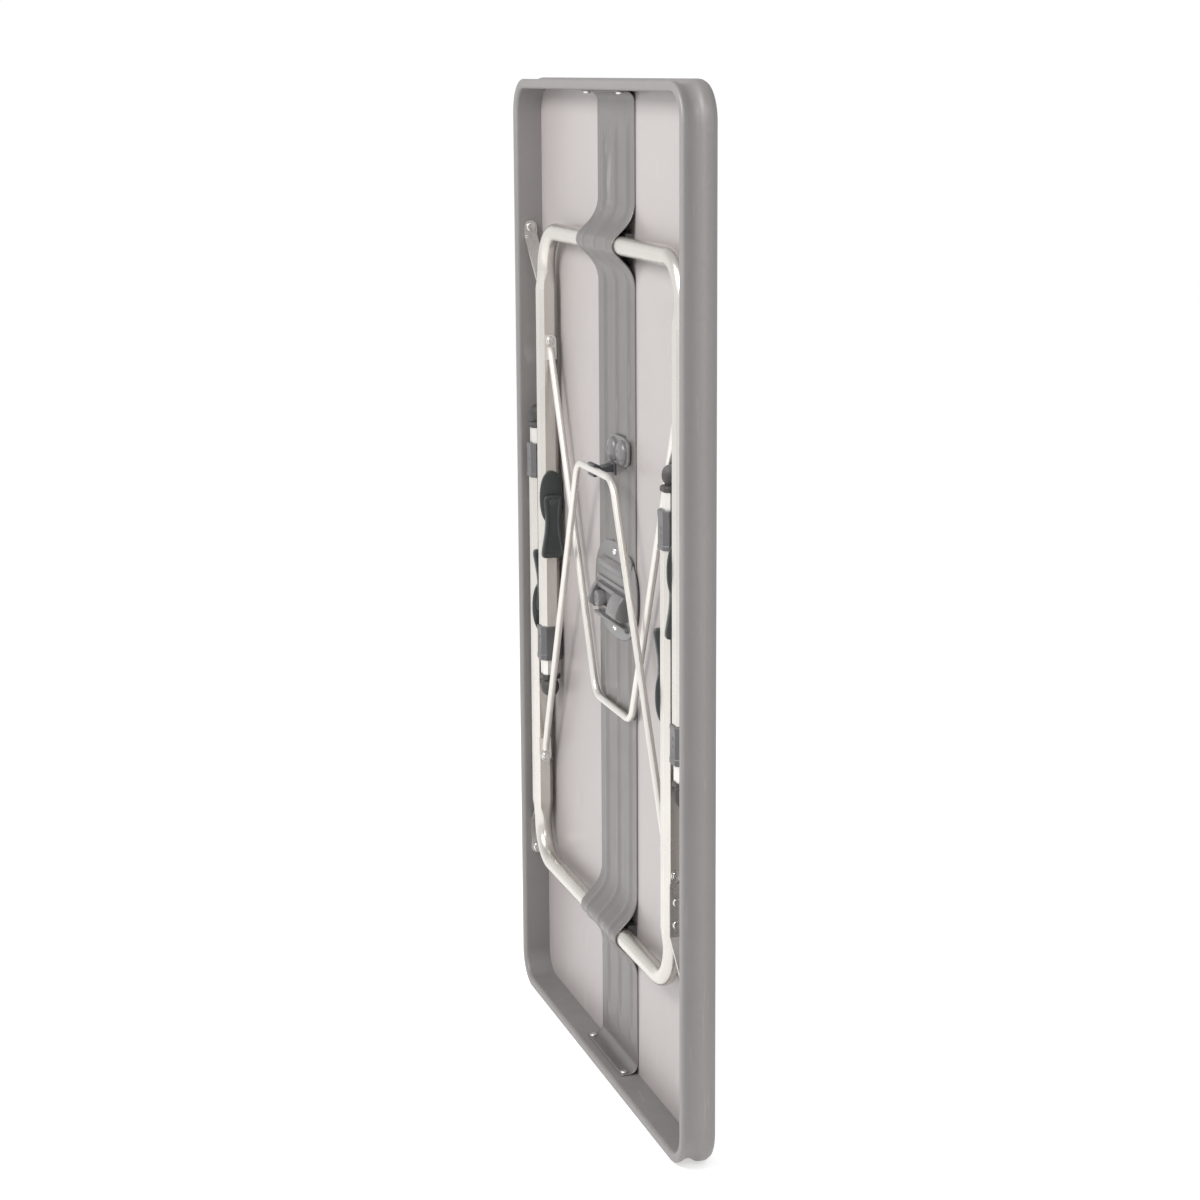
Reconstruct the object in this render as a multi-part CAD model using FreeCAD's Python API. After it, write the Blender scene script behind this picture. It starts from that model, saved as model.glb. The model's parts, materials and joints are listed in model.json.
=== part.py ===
import FreeCAD, Part
import math
import os

# Folding camp table, folded flat and standing on one short edge.
# Millimetres. +Z runs up the table's long axis, +X across its width,
# +Y from the open underside (raised lip of the rim) to the table's top face.
# The origin is at the centre of the short edge it stands on.

Vec = FreeCAD.Vector
UP = Vec(0, 0, 1)
ACROSS = Vec(1, 0, 0)
INTO = Vec(0, 1, 0)

# ---- overall sizes -------------------------------------------------------
TABLE_LENGTH = 1100.0
TABLE_WIDTH = 592.0
TABLE_DEPTH = 37.0
CORNER_RADIUS = 40.0

# ---- tabletop board and its aluminium rim --------------------------------
TOP_DROP = 0.8            # board's face sits this far below the rim's flange
FACE_SKIN_GAP = 0.3       # between the face skin's edge and the flange
SKIN = 0.5                # laminate skin on each face of the board
BOARD_CORE = 3.7
BOARD_INSET = 4.2         # board's edge, measured from the rim's widest line
TOP_FLANGE_REACH = 14.0   # width of the rim's flange on the table's face
TOP_ROUND = 6.0           # how far the face's outer rounding runs in
WALL_INSET = 12.5         # rim's flat inner wall, measured from its widest line
LIP_INSET = 1.5           # raised free edge starts this far in
LIP_OUTER_ROUND = 2.6
LIP_INNER_ROUND = 3.8
GROOVE_INSET = 4.6        # shallow groove round the outside of the rim
GROOVE_LEVEL = 14.5       # groove's depth below the lip, along Y
BULGE_LEVEL = 27.5        # widest line's distance from the lip, along Y
RIM_WALL = 1.6            # metal round the rim's hollow chamber

# ---- clearances ----------------------------------------------------------
RUN_GAP = 0.3             # between parts that slide or sweep past each other
PIN_GAP = 0.05            # radial, for a pin in its hole
REST_GAP = 0.4            # under a rod that lies in a clip or seat

# ---- leg frames ----------------------------------------------------------
AXIS_HEIGHT = 15.0        # fold axis above the board's underside
AXIS_INSET = 172.0        # fold axis from the table's short edge
FRAME_HALF = TABLE_WIDTH / 2 - 59.0   # leg centre line from the frame's middle
FRAME_OFFSET = 18.0       # each frame is shifted so that the legs lie side by side
CROSS_TUBE = 20.0         # diameter of the cross tube
LEG_ACROSS = 22.0         # eight-sided leg section
LEG_DEEP = 22.0
LEG_CUT = 5.0
TUBE_WALL = 1.2
BEND_RADIUS = 45.0
SWAGE = 22.0              # length over which the round tube becomes eight-sided
OUTER_END = 498.0         # end of the outer leg tube, from the fold axis

# ---- telescopic lower legs -----------------------------------------------
INNER_START = 146.0
INNER_END = 523.0
COLLAR_START = 464.0
COLLAR_END = 505.0
COLLAR_WALL = 2.2
FOOT_SKIRT = 6.0
FOOT_END = 550.0
FOOT_BALL = 10.8
FOOT_NECK = 8.0
FOOT_PLUG = 26.0

# ---- clamp levers --------------------------------------------------------
CLAMP_AT = 314.0          # clamp bolt, from the fold axis
CLAMP_BOLT = 5.0
BASE_THICK = 3.5
BASE_LENGTH = 66.0
BASE_WIDTH = 28.0
BASE_BELOW_BOLT = 4.0     # base plate's middle, past the bolt
BASE_ROUND = 1.0
LEVER_THICK = 6.5
LEVER_TOP = 8.0           # lever's square end, above the bolt
LEVER_TOP_WIDTH = 22.0
LEVER_WAIST = 18.0
LEVER_WAIST_AT = 24.0     # below the bolt
LEVER_TIP = 28.0
LEVER_REACH = 66.0        # bolt to the lever's broad end
LEVER_CORNER = 5.0
LEVER_ROUND = 1.5
BOLT_HEAD_THICK = 2.0
BOLT_POCKET = 2.4         # head's recess in the lever

# ---- stays (bent rods between the leg frames and the middle) -------------
STAY_PIVOT = 126.0        # stay rivet, from the fold axis
STAY_LENGTH = TABLE_LENGTH / 2 - 165.0   # rivet to the narrow cross bar
STAY_ROD = 8.0
STAY_BAR_HALF = 62.0
STAY_BEND = 24.0
STAY_END_THICK = 3.0
STAY_END_WIDTH = 14.0
STAY_END_LONG = 22.0
STAY_SIDE_GAP = 0.5
RIVET_SHANK = 6.0
RIVET_HEAD = 11.0
RIVET_HEAD_THICK = 2.0
STAY_END_LEAD = 7.5       # rod reaches this far over its flattened end
STAY_END_BEND = 18.0
STAY_END_STRAIGHT = 12.0  # straight run past the rivet before the rod slants in
UPPER_STAY_STOW = 7.0     # bar above the board's underside, folded
LOWER_STAY_STOW = 27.0
SEAT_STEP = 12.8          # second stay's seat stands this much higher

# ---- side straps ---------------------------------------------------------
STRAP_THICK = 2.5
STRAP_WIDE = 15.0
STRAP_GAP = 0.5           # between the strap's tab and the rim's wall
STRAP_END = 116.0         # far end of the strap, from the fold axis
FAR_STRAP_START = 60.0    # where the strap meets the leg, wide gap to the rim
NEAR_STRAP_START = 48.0   # the same, narrow gap
STRAP_RIVET_AT = (74.0, 98.0)
STRAP_RIVET = 5.0
STRAP_RIVET_HEAD = 9.0
RIVET_ROUND = 1.2
PIVOT_SCREW = 6.0
PIVOT_HEAD = 11.0
PIVOT_HEAD_THICK = 2.6
SCREW_ROUND = 1.4

# ---- centre rib ----------------------------------------------------------
RIB_WIDTH = 125.0
RIB_SHEET = 1.5
RIB_RIDGE = 1.2
RIB_RIDGE_WIDE = 13.0
RIB_RIDGES_AT = (-40.0, 0.0, 40.0)
RIB_FLANGE = 20.0         # how far its ends turn up the short walls of the rim
RIB_END_BEND = 12.0
ARCH_FOOT_BEND = 40.0
RIB_SCREW_AT = 56.0
SMALL_SCREW = 4.0
SMALL_HEAD = 8.0
SMALL_HEAD_THICK = 2.4

# ---- centre bracket and stowing clip -------------------------------------
BRACKET_ACROSS = 148.0
BRACKET_ALONG = 108.0
BRACKET_PLATE = 2.5
BRACKET_ROUND = 1.2
BRACKET_BLOCK_HALF = 44.0 # half width of the raised seat blocks
BRACKET_SCREW_AT = 42.0
BLOCK_ROOT = 1.0          # raised blocks are sunk this far into the plate
RAMP_HIGH_AT = 9.0        # second seat's ramp starts this far before its bar
RAMP_LOW_AT = 4.0         # and ends this far past it
RAMP_HIGH = 19.0          # ramp's two heights above the board's underside
RAMP_LOW = 14.4
BLOCK_SIDE = 7.0          # run of the block's sides, down to the plate
STOP_FOOT = 11.0
STOP_OVER = 3.0           # how far a stop stands above its bar's middle
STOP_WIDE = 6.0
STOP_LEAN = 0.6
CLIP_PLATE_AT = 29.0
CLIP_PLATE_WIDE = 66.0
CLIP_PLATE_HIGH = 32.0
CLIP_PLATE_THICK = 3.0
CLIP_DOME = 12.0
CLIP_DOME_HIGH = 5.0
CLIP_DOME_ROUND = 4.0
CLIP_HOOK_AT = -8.0
CLIP_HOOK_WIDE = 22.0
CLIP_WALL = 3.0
CLIP_MOUTH = 2.0          # hook reaches this far past the bar's middle

# ---- hinge saddles under the cross tubes ---------------------------------
SADDLE_LONG = 116.0
SADDLE_WIDE = 24.0
SADDLE_HIGH = 10.0

# ---- derived levels ------------------------------------------------------
FACE = TABLE_DEPTH / 2
LIP = -TABLE_DEPTH / 2
TOP_SKIN_Y = FACE - TOP_DROP
CORE_TOP_Y = TOP_SKIN_Y - SKIN
CORE_UNDER_Y = CORE_TOP_Y - BOARD_CORE
UNDER_Y = CORE_UNDER_Y - SKIN
HALF_WIDTH = TABLE_WIDTH / 2
WALL_X = HALF_WIDTH - WALL_INSET
MIDDLE = Vec(0, 0, TABLE_LENGTH / 2)
AXIS_Y = UNDER_Y - AXIS_HEIGHT
UPPER_AXIS_Z = TABLE_LENGTH - AXIS_INSET
RIB_TOP_Y = UNDER_Y - RIB_SHEET
UPPER_SEAT = RIB_SHEET + BRACKET_PLATE + REST_GAP + STAY_ROD / 2
LOWER_SEAT = UPPER_SEAT + SEAT_STEP
BRACKET_SCREW_Z = (TABLE_LENGTH / 2 - BRACKET_SCREW_AT, TABLE_LENGTH / 2 + BRACKET_SCREW_AT)
STOW_RUN = math.sqrt(STAY_LENGTH ** 2 - (LOWER_STAY_STOW - AXIS_HEIGHT) ** 2)
STOW_Z = AXIS_INSET + STAY_PIVOT + STOW_RUN
CLIP_BASE_Z = STOW_Z + STAY_ROD / 2 + RUN_GAP + CLIP_WALL
INNER_INSET = TUBE_WALL + RUN_GAP


def polygon_face(points):
    return Part.Face(Part.makePolygon([Vec(*p) for p in points + points[:1]]))


def turned(shape):
    """The same piece at the other end of the table (half a turn about Y)."""
    other = shape.copy()
    other.rotate(MIDDLE, INTO, 180)
    return other


def moved(shape, x, y, z):
    result = shape.copy()
    result.translate(Vec(x, y, z))
    return result


def save(shape, node):
    shape.exportStep("parts/" + node + ".step")


def save_pair(shape, node):
    """Upper piece, and its twin on the lower frame, which swaps left and right."""
    twin = node.replace("upper", "lower")
    if "left" in node:
        twin = twin.replace("left", "right")
    else:
        twin = twin.replace("right", "left")
    save(shape, node)
    save(turned(shape), twin)


# ---------------------------------------------------------------- the rim
def rounded_outline(inset, y):
    """Closed rounded rectangle round the table, moved in from its widest line."""
    x = HALF_WIDTH - inset
    low = inset
    high = TABLE_LENGTH - inset
    r = CORNER_RADIUS - inset
    k = r * (1 - math.sqrt(0.5))
    corners = []
    for sx, sz in ((1, 1), (-1, 1), (-1, -1), (1, -1)):
        cz = high if sz > 0 else low
        a = Vec(sx * x, y, cz - sz * r)
        b = Vec(sx * (x - k), y, cz - sz * k)
        c = Vec(sx * (x - r), y, cz)
        corners.append((a, b, c) if sx * sz > 0 else (c, b, a))
    edges = []
    for i, (a, b, c) in enumerate(corners):
        edges.append(Part.Arc(a, b, c).toShape())
        edges.append(Part.makeLine(c, corners[(i + 1) % 4][0]))
    return Part.Wire(edges)


def board_layer(low_y, high_y, inset):
    face = Part.Face(rounded_outline(inset, low_y))
    return face.extrude(INTO * (high_y - low_y))


def rim_section():
    """Half section of the rim as (inset, y), outside first, then the inside."""
    lip_outer_y = LIP + LIP_OUTER_ROUND
    lip_inner_y = LIP + LIP_INNER_ROUND
    outside = Part.BSplineCurve()
    run = [
        Vec(LIP_INSET, lip_outer_y, 0),
        Vec(GROOVE_INSET - 1.0, LIP + GROOVE_LEVEL * 0.6, 0),
        Vec(GROOVE_INSET, LIP + GROOVE_LEVEL, 0),
        Vec(GROOVE_INSET / 2, (GROOVE_LEVEL + BULGE_LEVEL) / 2 + LIP, 0),
        Vec(0, LIP + BULGE_LEVEL, 0),
        Vec(TOP_ROUND / 9, FACE - 4.0, 0),
        Vec(TOP_ROUND * 0.43, FACE - 1.1, 0),
        Vec(TOP_ROUND, FACE, 0),
    ]
    square_on = {0: INTO, 2: INTO, 4: INTO, 7: ACROSS}
    outside.interpolate(
        Points=run,
        Tangents=[square_on.get(i, INTO) for i in range(len(run))],
        TangentFlags=[i in square_on for i in range(len(run))])
    inner = [
        Vec(TOP_ROUND, FACE, 0),
        Vec(TOP_FLANGE_REACH, FACE, 0),
        Vec(TOP_FLANGE_REACH, CORE_TOP_Y, 0),
        Vec(BOARD_INSET, CORE_TOP_Y, 0),
        Vec(BOARD_INSET, UNDER_Y, 0),
        Vec(WALL_INSET, UNDER_Y, 0),
        Vec(WALL_INSET, lip_inner_y, 0),
    ]
    edges = [outside.toShape()]
    for a, b in zip(inner, inner[1:]):
        edges.append(Part.makeLine(a, b))
    lip_from = Vec(WALL_INSET - LIP_INNER_ROUND, LIP, 0)
    lip_to = Vec(LIP_INSET + LIP_OUTER_ROUND, LIP, 0)
    edges.append(quarter(inner[-1], lip_from, Vec(lip_from.x, lip_inner_y, 0)))
    edges.append(Part.makeLine(lip_from, lip_to))
    edges.append(quarter(lip_to, run[0], Vec(lip_to.x, lip_outer_y, 0)))
    return Part.Face(Part.Wire(edges))


def quarter(a, b, centre):
    """Quarter circle from a to b about the centre."""
    middle = (a + b - centre * 2).normalize() * (a - centre).Length + centre
    return Part.Arc(a, middle, b).toShape()


def chamber_section():
    """The hollow inside the rim, as (inset, y)."""
    outer = GROOVE_INSET + RIM_WALL
    inner = WALL_INSET - RIM_WALL
    low = LIP + LIP_INNER_ROUND
    high = UNDER_Y - RIM_WALL
    wide = BOARD_INSET
    turn = LIP + BULGE_LEVEL - RIM_WALL
    return polygon_face([
        (outer, low, 0), (inner, low, 0), (inner, high, 0), (wide, high, 0), (wide, turn, 0),
        (outer, LIP + GROOVE_LEVEL, 0),
    ])


def place_section(section, origin, inward):
    """Stand the flat section up: its x runs inward, its y becomes the table's Y."""
    along = inward.cross(INTO)
    frame = FreeCAD.Matrix(
        inward.x, INTO.x, along.x, origin.x,
        inward.y, INTO.y, along.y, origin.y,
        inward.z, INTO.z, along.z, origin.z,
        0, 0, 0, 1)
    return section.transformGeometry(frame)


def swept_round(section):
    """The section carried all round the table, corners included."""
    ring = None
    for sx, sz in ((1, 1), (-1, 1), (-1, -1), (1, -1)):
        end_z = TABLE_LENGTH if sz > 0 else 0
        centre = Vec(sx * (HALF_WIDTH - CORNER_RADIUS), 0, end_z - sz * CORNER_RADIUS)
        side = place_section(section, Vec(sx * HALF_WIDTH, 0, centre.z), Vec(-sx, 0, 0))
        corner = side.revolve(centre, Vec(0, -sx * sz, 0), 90)
        long_wall = side.extrude(Vec(0, 0, -sz * (TABLE_LENGTH / 2 - CORNER_RADIUS)))
        end = place_section(section, Vec(centre.x, 0, end_z), Vec(0, 0, -sz))
        short_wall = end.extrude(Vec(-sx * (HALF_WIDTH - CORNER_RADIUS), 0, 0))
        part = corner.fuse([long_wall, short_wall])
        ring = part if ring is None else ring.fuse(part)
    return ring.removeSplitter()


def rim():
    ring = swept_round(rim_section()).cut(swept_round(chamber_section()))
    for sx in (-1, 1):
        for z in (AXIS_INSET, UPPER_AXIS_Z):
            start = Vec(sx * (WALL_X - RIM_WALL), AXIS_Y, z)
            ring = ring.cut(Part.makeCylinder(PIVOT_SCREW / 2, 3 * RIM_WALL, start, ACROSS * sx))
    return ring


# ------------------------------------------------------------ the leg frames
def section_points(across, deep, cut, z):
    x = across / 2
    y = deep / 2
    return [
        Vec(x, y - cut, z), Vec(x - cut, y, z), Vec(cut - x, y, z), Vec(-x, y - cut, z),
        Vec(-x, cut - y, z), Vec(cut - x, -y, z), Vec(x - cut, -y, z), Vec(x, cut - y, z),
    ]


def leg_section(inset, z):
    """Eight-sided leg outline, moved in evenly from the outside of the tube."""
    cut = LEG_CUT - inset * (2 - math.sqrt(2))
    return section_points(LEG_ACROSS - 2 * inset, LEG_DEEP - 2 * inset, cut, z)


def prism(inset, z_from, z_to):
    points = leg_section(inset, z_from)
    face = Part.Face(Part.makePolygon(points + points[:1]))
    return face.extrude(UP * (z_to - z_from))


def round_outline(radius, z):
    """Circle split at the same eight corners as the leg outline."""
    corners = leg_section(0, z)
    turns = [math.atan2(p.y, p.x) for p in corners]
    edges = []
    for i, a in enumerate(turns):
        b = turns[(i + 1) % 8]
        if b < a - math.pi:
            b += 2 * math.pi
        if b > a + math.pi:
            b -= 2 * math.pi
        spots = [Vec(radius * math.cos(t), radius * math.sin(t), z) for t in (a, (a + b) / 2, b)]
        edges.append(Part.Arc(*spots).toShape())
    return Part.Wire(edges)


def swage(inset):
    top = round_outline(CROSS_TUBE / 2 - inset, -BEND_RADIUS)
    bottom = leg_section(inset, -BEND_RADIUS - SWAGE)
    return Part.makeLoft([top, Part.makePolygon(bottom + bottom[:1])], True, True)


def cross_bar(inset):
    """Round tube from leg to leg over the fold axis, with a bend at each end."""
    half = FRAME_HALF
    r = BEND_RADIUS
    k = r * (1 - math.sqrt(0.5))
    path = Part.Wire([
        Part.Arc(Vec(-half, 0, -r), Vec(-half + k, 0, -k), Vec(-half + r, 0, 0)).toShape(),
        Part.makeLine(Vec(-half + r, 0, 0), Vec(half - r, 0, 0)),
        Part.Arc(Vec(half - r, 0, 0), Vec(half - k, 0, -k), Vec(half, 0, -r)).toShape(),
    ])
    ring = Part.Wire([Part.makeCircle(CROSS_TUBE / 2 - inset, Vec(-half, 0, -r), UP)])
    return path.makePipeShell([ring], True, True)


def frame_solid(inset, reach):
    """Whole leg frame as one bar; the inside is the same bar, thinner."""
    bar = cross_bar(inset)
    for sx in (-1, 1):
        leg = swage(inset).fuse(prism(inset, -BEND_RADIUS - SWAGE, -reach))
        bar = bar.fuse(moved(leg, sx * FRAME_HALF, 0, 0))
    return bar


def at_hinge(shape):
    """From the frame's own middle to its place at the upper end of the table."""
    return moved(shape, FRAME_OFFSET, AXIS_Y, UPPER_AXIS_Z)


def rod_across(radius, x_from, x_to, down):
    low, high = sorted((x_from, x_to))
    return Part.makeCylinder(radius, high - low, Vec(low, 0, -down), ACROSS)


def frame_tube():
    tube = frame_solid(0, OUTER_END).cut(frame_solid(TUBE_WALL, OUTER_END + 1))
    reach = FRAME_HALF + LEG_ACROSS
    tube = tube.cut(rod_across(RIVET_SHANK / 2, -reach, reach, STAY_PIVOT))
    for sx in (-1, 1):
        leg_x = sx * FRAME_HALF
        out_x = sx * (FRAME_HALF + LEG_ACROSS)
        in_x = sx * (FRAME_HALF - LEG_ACROSS)
        for down in STRAP_RIVET_AT:
            tube = tube.cut(rod_across(STRAP_RIVET / 2, leg_x, out_x, down))
        tube = tube.cut(rod_across(CLAMP_BOLT / 2, leg_x, in_x, CLAMP_AT))
    return tube


def collar():
    """Plastic sleeve on the mouth of the outer tube, guiding the inner tube."""
    body = prism(-COLLAR_WALL, -COLLAR_START, -COLLAR_END)
    rims = [e for e in body.Edges if abs(e.BoundBox.ZLength) < 0.01]
    body = body.makeFillet(1.2, rims)
    body = body.cut(prism(0, -COLLAR_START, -OUTER_END))
    return body.cut(prism(TUBE_WALL, -OUTER_END, -COLLAR_END))


def inner_tube():
    outer = prism(INNER_INSET, -INNER_START, -INNER_END)
    return outer.cut(prism(INNER_INSET + TUBE_WALL, -INNER_START, -INNER_END))


def foot():
    """Rubber foot: plug inside the tube, square skirt, neck and ball."""
    plug = prism(INNER_INSET + TUBE_WALL, -INNER_END + FOOT_PLUG, -INNER_END)
    skirt = prism(0, -INNER_END, -INNER_END - FOOT_SKIRT)
    skirt = skirt.makeChamfer(0.8, [e for e in skirt.Edges if abs(e.BoundBox.ZLength) < 0.01])
    ball_z = -FOOT_END + FOOT_BALL
    neck = Part.makeCylinder(FOOT_NECK, -INNER_END - ball_z, Vec(0, 0, ball_z))
    ball = Part.makeSphere(FOOT_BALL, Vec(0, 0, ball_z))
    return plug.fuse([skirt, neck, ball])


# ------------------------------------------------------------- clamp levers
def clamp_base(side):
    """Oval plate on the leg's inner face; `side` is +1 when inward is +X."""
    half = BASE_LENGTH / 2 - BASE_WIDTH / 2
    middle = -CLAMP_AT - BASE_BELOW_BOLT
    oval = Part.makeBox(BASE_THICK, BASE_WIDTH, 2 * half, Vec(0, -BASE_WIDTH / 2, middle - half))
    for dz in (-half, half):
        oval = oval.fuse(Part.makeCylinder(BASE_WIDTH / 2, BASE_THICK, Vec(0, 0, middle + dz), ACROSS))
    oval = oval.removeSplitter()
    oval = oval.makeFillet(BASE_ROUND, edges_at(oval, BASE_THICK))
    oval = oval.cut(rod_across(CLAMP_BOLT / 2, -BASE_THICK, 2 * BASE_THICK, CLAMP_AT))
    if side < 0:
        oval = oval.mirror(Vec(0, 0, 0), ACROSS)
    return moved(oval, side * LEG_ACROSS / 2, 0, 0)


def edges_at(shape, x):
    """Edges that lie flat in the plane at this x."""
    return [e for e in shape.Edges if e.BoundBox.XLength < 0.01 and abs(e.BoundBox.XMax - x) < 0.01]


def lever_flank(sign):
    """One long edge of the lever, from its square end past the waist to the broad end."""
    flank = Part.BSplineCurve()
    flank.interpolate(
        Points=[
            Vec(0, sign * LEVER_TOP_WIDTH / 2, LEVER_TOP - LEVER_CORNER),
            Vec(0, sign * LEVER_WAIST / 2, -LEVER_WAIST_AT),
            Vec(0, sign * LEVER_TIP / 2, LEVER_CORNER - LEVER_REACH),
        ],
        Tangents=[UP * -1] * 3,
        TangentFlags=[True] * 3)
    return flank.toShape()


def clamp_lever(side):
    """Swivelling lever: square end over the bolt, waist, flared broad end."""
    top = LEVER_TOP_WIDTH / 2
    tip = LEVER_TIP / 2
    c = LEVER_CORNER
    spots = [
        (Vec(0, tip, c - LEVER_REACH), Vec(0, tip - c, -LEVER_REACH), Vec(0, tip - c, c - LEVER_REACH)),
        (Vec(0, c - tip, -LEVER_REACH), Vec(0, -tip, c - LEVER_REACH), Vec(0, c - tip, c - LEVER_REACH)),
        (Vec(0, -top, LEVER_TOP - c), Vec(0, c - top, LEVER_TOP), Vec(0, c - top, LEVER_TOP - c)),
        (Vec(0, top - c, LEVER_TOP), Vec(0, top, LEVER_TOP - c), Vec(0, top - c, LEVER_TOP - c)),
    ]
    edges = [lever_flank(1), lever_flank(-1)]
    edges += [quarter(*spot) for spot in spots]
    edges.append(Part.makeLine(spots[0][1], spots[1][0]))
    edges.append(Part.makeLine(spots[2][1], spots[3][0]))
    face = Part.Face(Part.Wire(Part.__sortEdges__(edges)))
    lever = face.extrude(ACROSS * LEVER_THICK)
    lever = lever.makeFillet(LEVER_ROUND, edges_at(lever, LEVER_THICK))
    lever = lever.cut(rod_across(CLAMP_BOLT / 2 + PIN_GAP, -LEVER_THICK, 2 * LEVER_THICK, 0))
    floor = LEVER_THICK - BOLT_POCKET - RUN_GAP
    lever = lever.cut(rod_across(SMALL_HEAD / 2 + RUN_GAP, floor, 2 * LEVER_THICK, 0))
    if side < 0:
        lever = lever.mirror(Vec(0, 0, 0), ACROSS)
    start = LEG_ACROSS / 2 + BASE_THICK + RUN_GAP
    return moved(lever, side * start, 0, -CLAMP_AT)


def clamp_bolt(side):
    """Bolt through the lever, the base and the leg's wall."""
    inside = LEG_ACROSS / 2 - TUBE_WALL
    head_from = LEG_ACROSS / 2 + BASE_THICK + RUN_GAP + LEVER_THICK - BOLT_POCKET
    head_to = head_from + BOLT_HEAD_THICK
    shank = rod_across(CLAMP_BOLT / 2, side * inside, side * head_from, CLAMP_AT)
    return shank.fuse(rod_across(SMALL_HEAD / 2, side * head_from, side * head_to, CLAMP_AT))


# --------------------------------------------------------------- side straps
def strap(side):
    """Flat strap from the leg's outer face to a tab on the rim's wall."""
    leg_x = side * FRAME_HALF + side * LEG_ACROSS / 2
    tab_x = side * (WALL_X - STRAP_GAP - STRAP_THICK) - FRAME_OFFSET
    reach = abs(tab_x - leg_x)
    start = FAR_STRAP_START if reach > 2 * STRAP_THICK + LEG_ACROSS else NEAR_STRAP_START
    bend = start - reach
    t = STRAP_THICK * side
    outline = [
        (leg_x, 0, -STRAP_END), (leg_x, 0, -start), (tab_x, 0, -bend), (tab_x, 0, 0),
        (tab_x + t, 0, 0), (tab_x + t, 0, -bend - 1), (leg_x + t, 0, -start - 1), (leg_x + t, 0, -STRAP_END),
    ]
    body = moved(polygon_face(outline).extrude(INTO * STRAP_WIDE), 0, -STRAP_WIDE / 2, 0)
    tab_end = Part.makeCylinder(STRAP_WIDE / 2, STRAP_THICK, Vec(tab_x, 0, 0), ACROSS * side)
    leg_end = Part.makeCylinder(STRAP_WIDE / 2, STRAP_THICK, Vec(leg_x, 0, -STRAP_END), ACROSS * side)
    body = body.fuse([tab_end, leg_end]).removeSplitter()
    reach_x = leg_x + side * LEG_ACROSS
    body = body.cut(rod_across(RIVET_SHANK / 2 + RIVET_HEAD / 2, leg_x, reach_x, STAY_PIVOT))
    for down in STRAP_RIVET_AT:
        body = body.cut(rod_across(STRAP_RIVET / 2, leg_x, reach_x, down))
    hole = Part.makeCylinder(PIVOT_SCREW / 2 + PIN_GAP, 4 * STRAP_THICK, Vec(tab_x - 4, 0, 0), ACROSS)
    return body.cut(hole)


def strap_rivets():
    """Rivets that hold the straps to the two legs."""
    parts = []
    for side in (-1, 1):
        inside = side * (FRAME_HALF + LEG_ACROSS / 2 - TUBE_WALL)
        outside = side * (FRAME_HALF + LEG_ACROSS / 2 + STRAP_THICK)
        top = outside + side * RIVET_HEAD_THICK
        for down in STRAP_RIVET_AT:
            shank = rod_across(STRAP_RIVET / 2, inside, outside, down)
            head = rod_across(STRAP_RIVET_HEAD / 2, outside, top, down)
            parts.append(shank.fuse(head.makeFillet(RIVET_ROUND, edges_at(head, top))))
    return Part.makeCompound(parts)


def stay_rivets():
    """Rivets right through each leg, carrying the stay on the inner face."""
    parts = []
    for side in (-1, 1):
        leg_x = side * FRAME_HALF
        inner_face = leg_x - side * LEG_ACROSS / 2
        inner_end = inner_face - side * (STAY_SIDE_GAP + STAY_END_THICK + RUN_GAP)
        outer_end = leg_x + side * LEG_ACROSS / 2
        rivet = rod_across(RIVET_SHANK / 2, inner_end, outer_end, STAY_PIVOT)
        rivet = rivet.fuse([
            rod_across(RIVET_HEAD / 2, outer_end, outer_end + side * RIVET_HEAD_THICK, STAY_PIVOT),
            rod_across(RIVET_HEAD / 2, inner_end, inner_end - side * RIVET_HEAD_THICK, STAY_PIVOT),
        ])
        parts.append(rivet)
    return Part.makeCompound(parts)


# --------------------------------------------------------------------- stays
def smooth_path(points, radii):
    """Polyline with its inner corners rounded; returns the wire."""
    edges = []
    here = points[0]
    for i, r in enumerate(radii):
        corner = points[i + 1]
        back = (points[i] - corner).normalize()
        ahead = (points[i + 2] - corner).normalize()
        half = back.getAngle(ahead) / 2
        run = r / math.tan(half)
        a = corner + back * run
        b = corner + ahead * run
        mid = corner + (back + ahead).normalize() * (r / math.sin(half) - r)
        edges.append(Part.makeLine(here, a))
        edges.append(Part.Arc(a, mid, b).toShape())
        here = b
    edges.append(Part.makeLine(here, points[-1]))
    return Part.Wire(edges)


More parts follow.
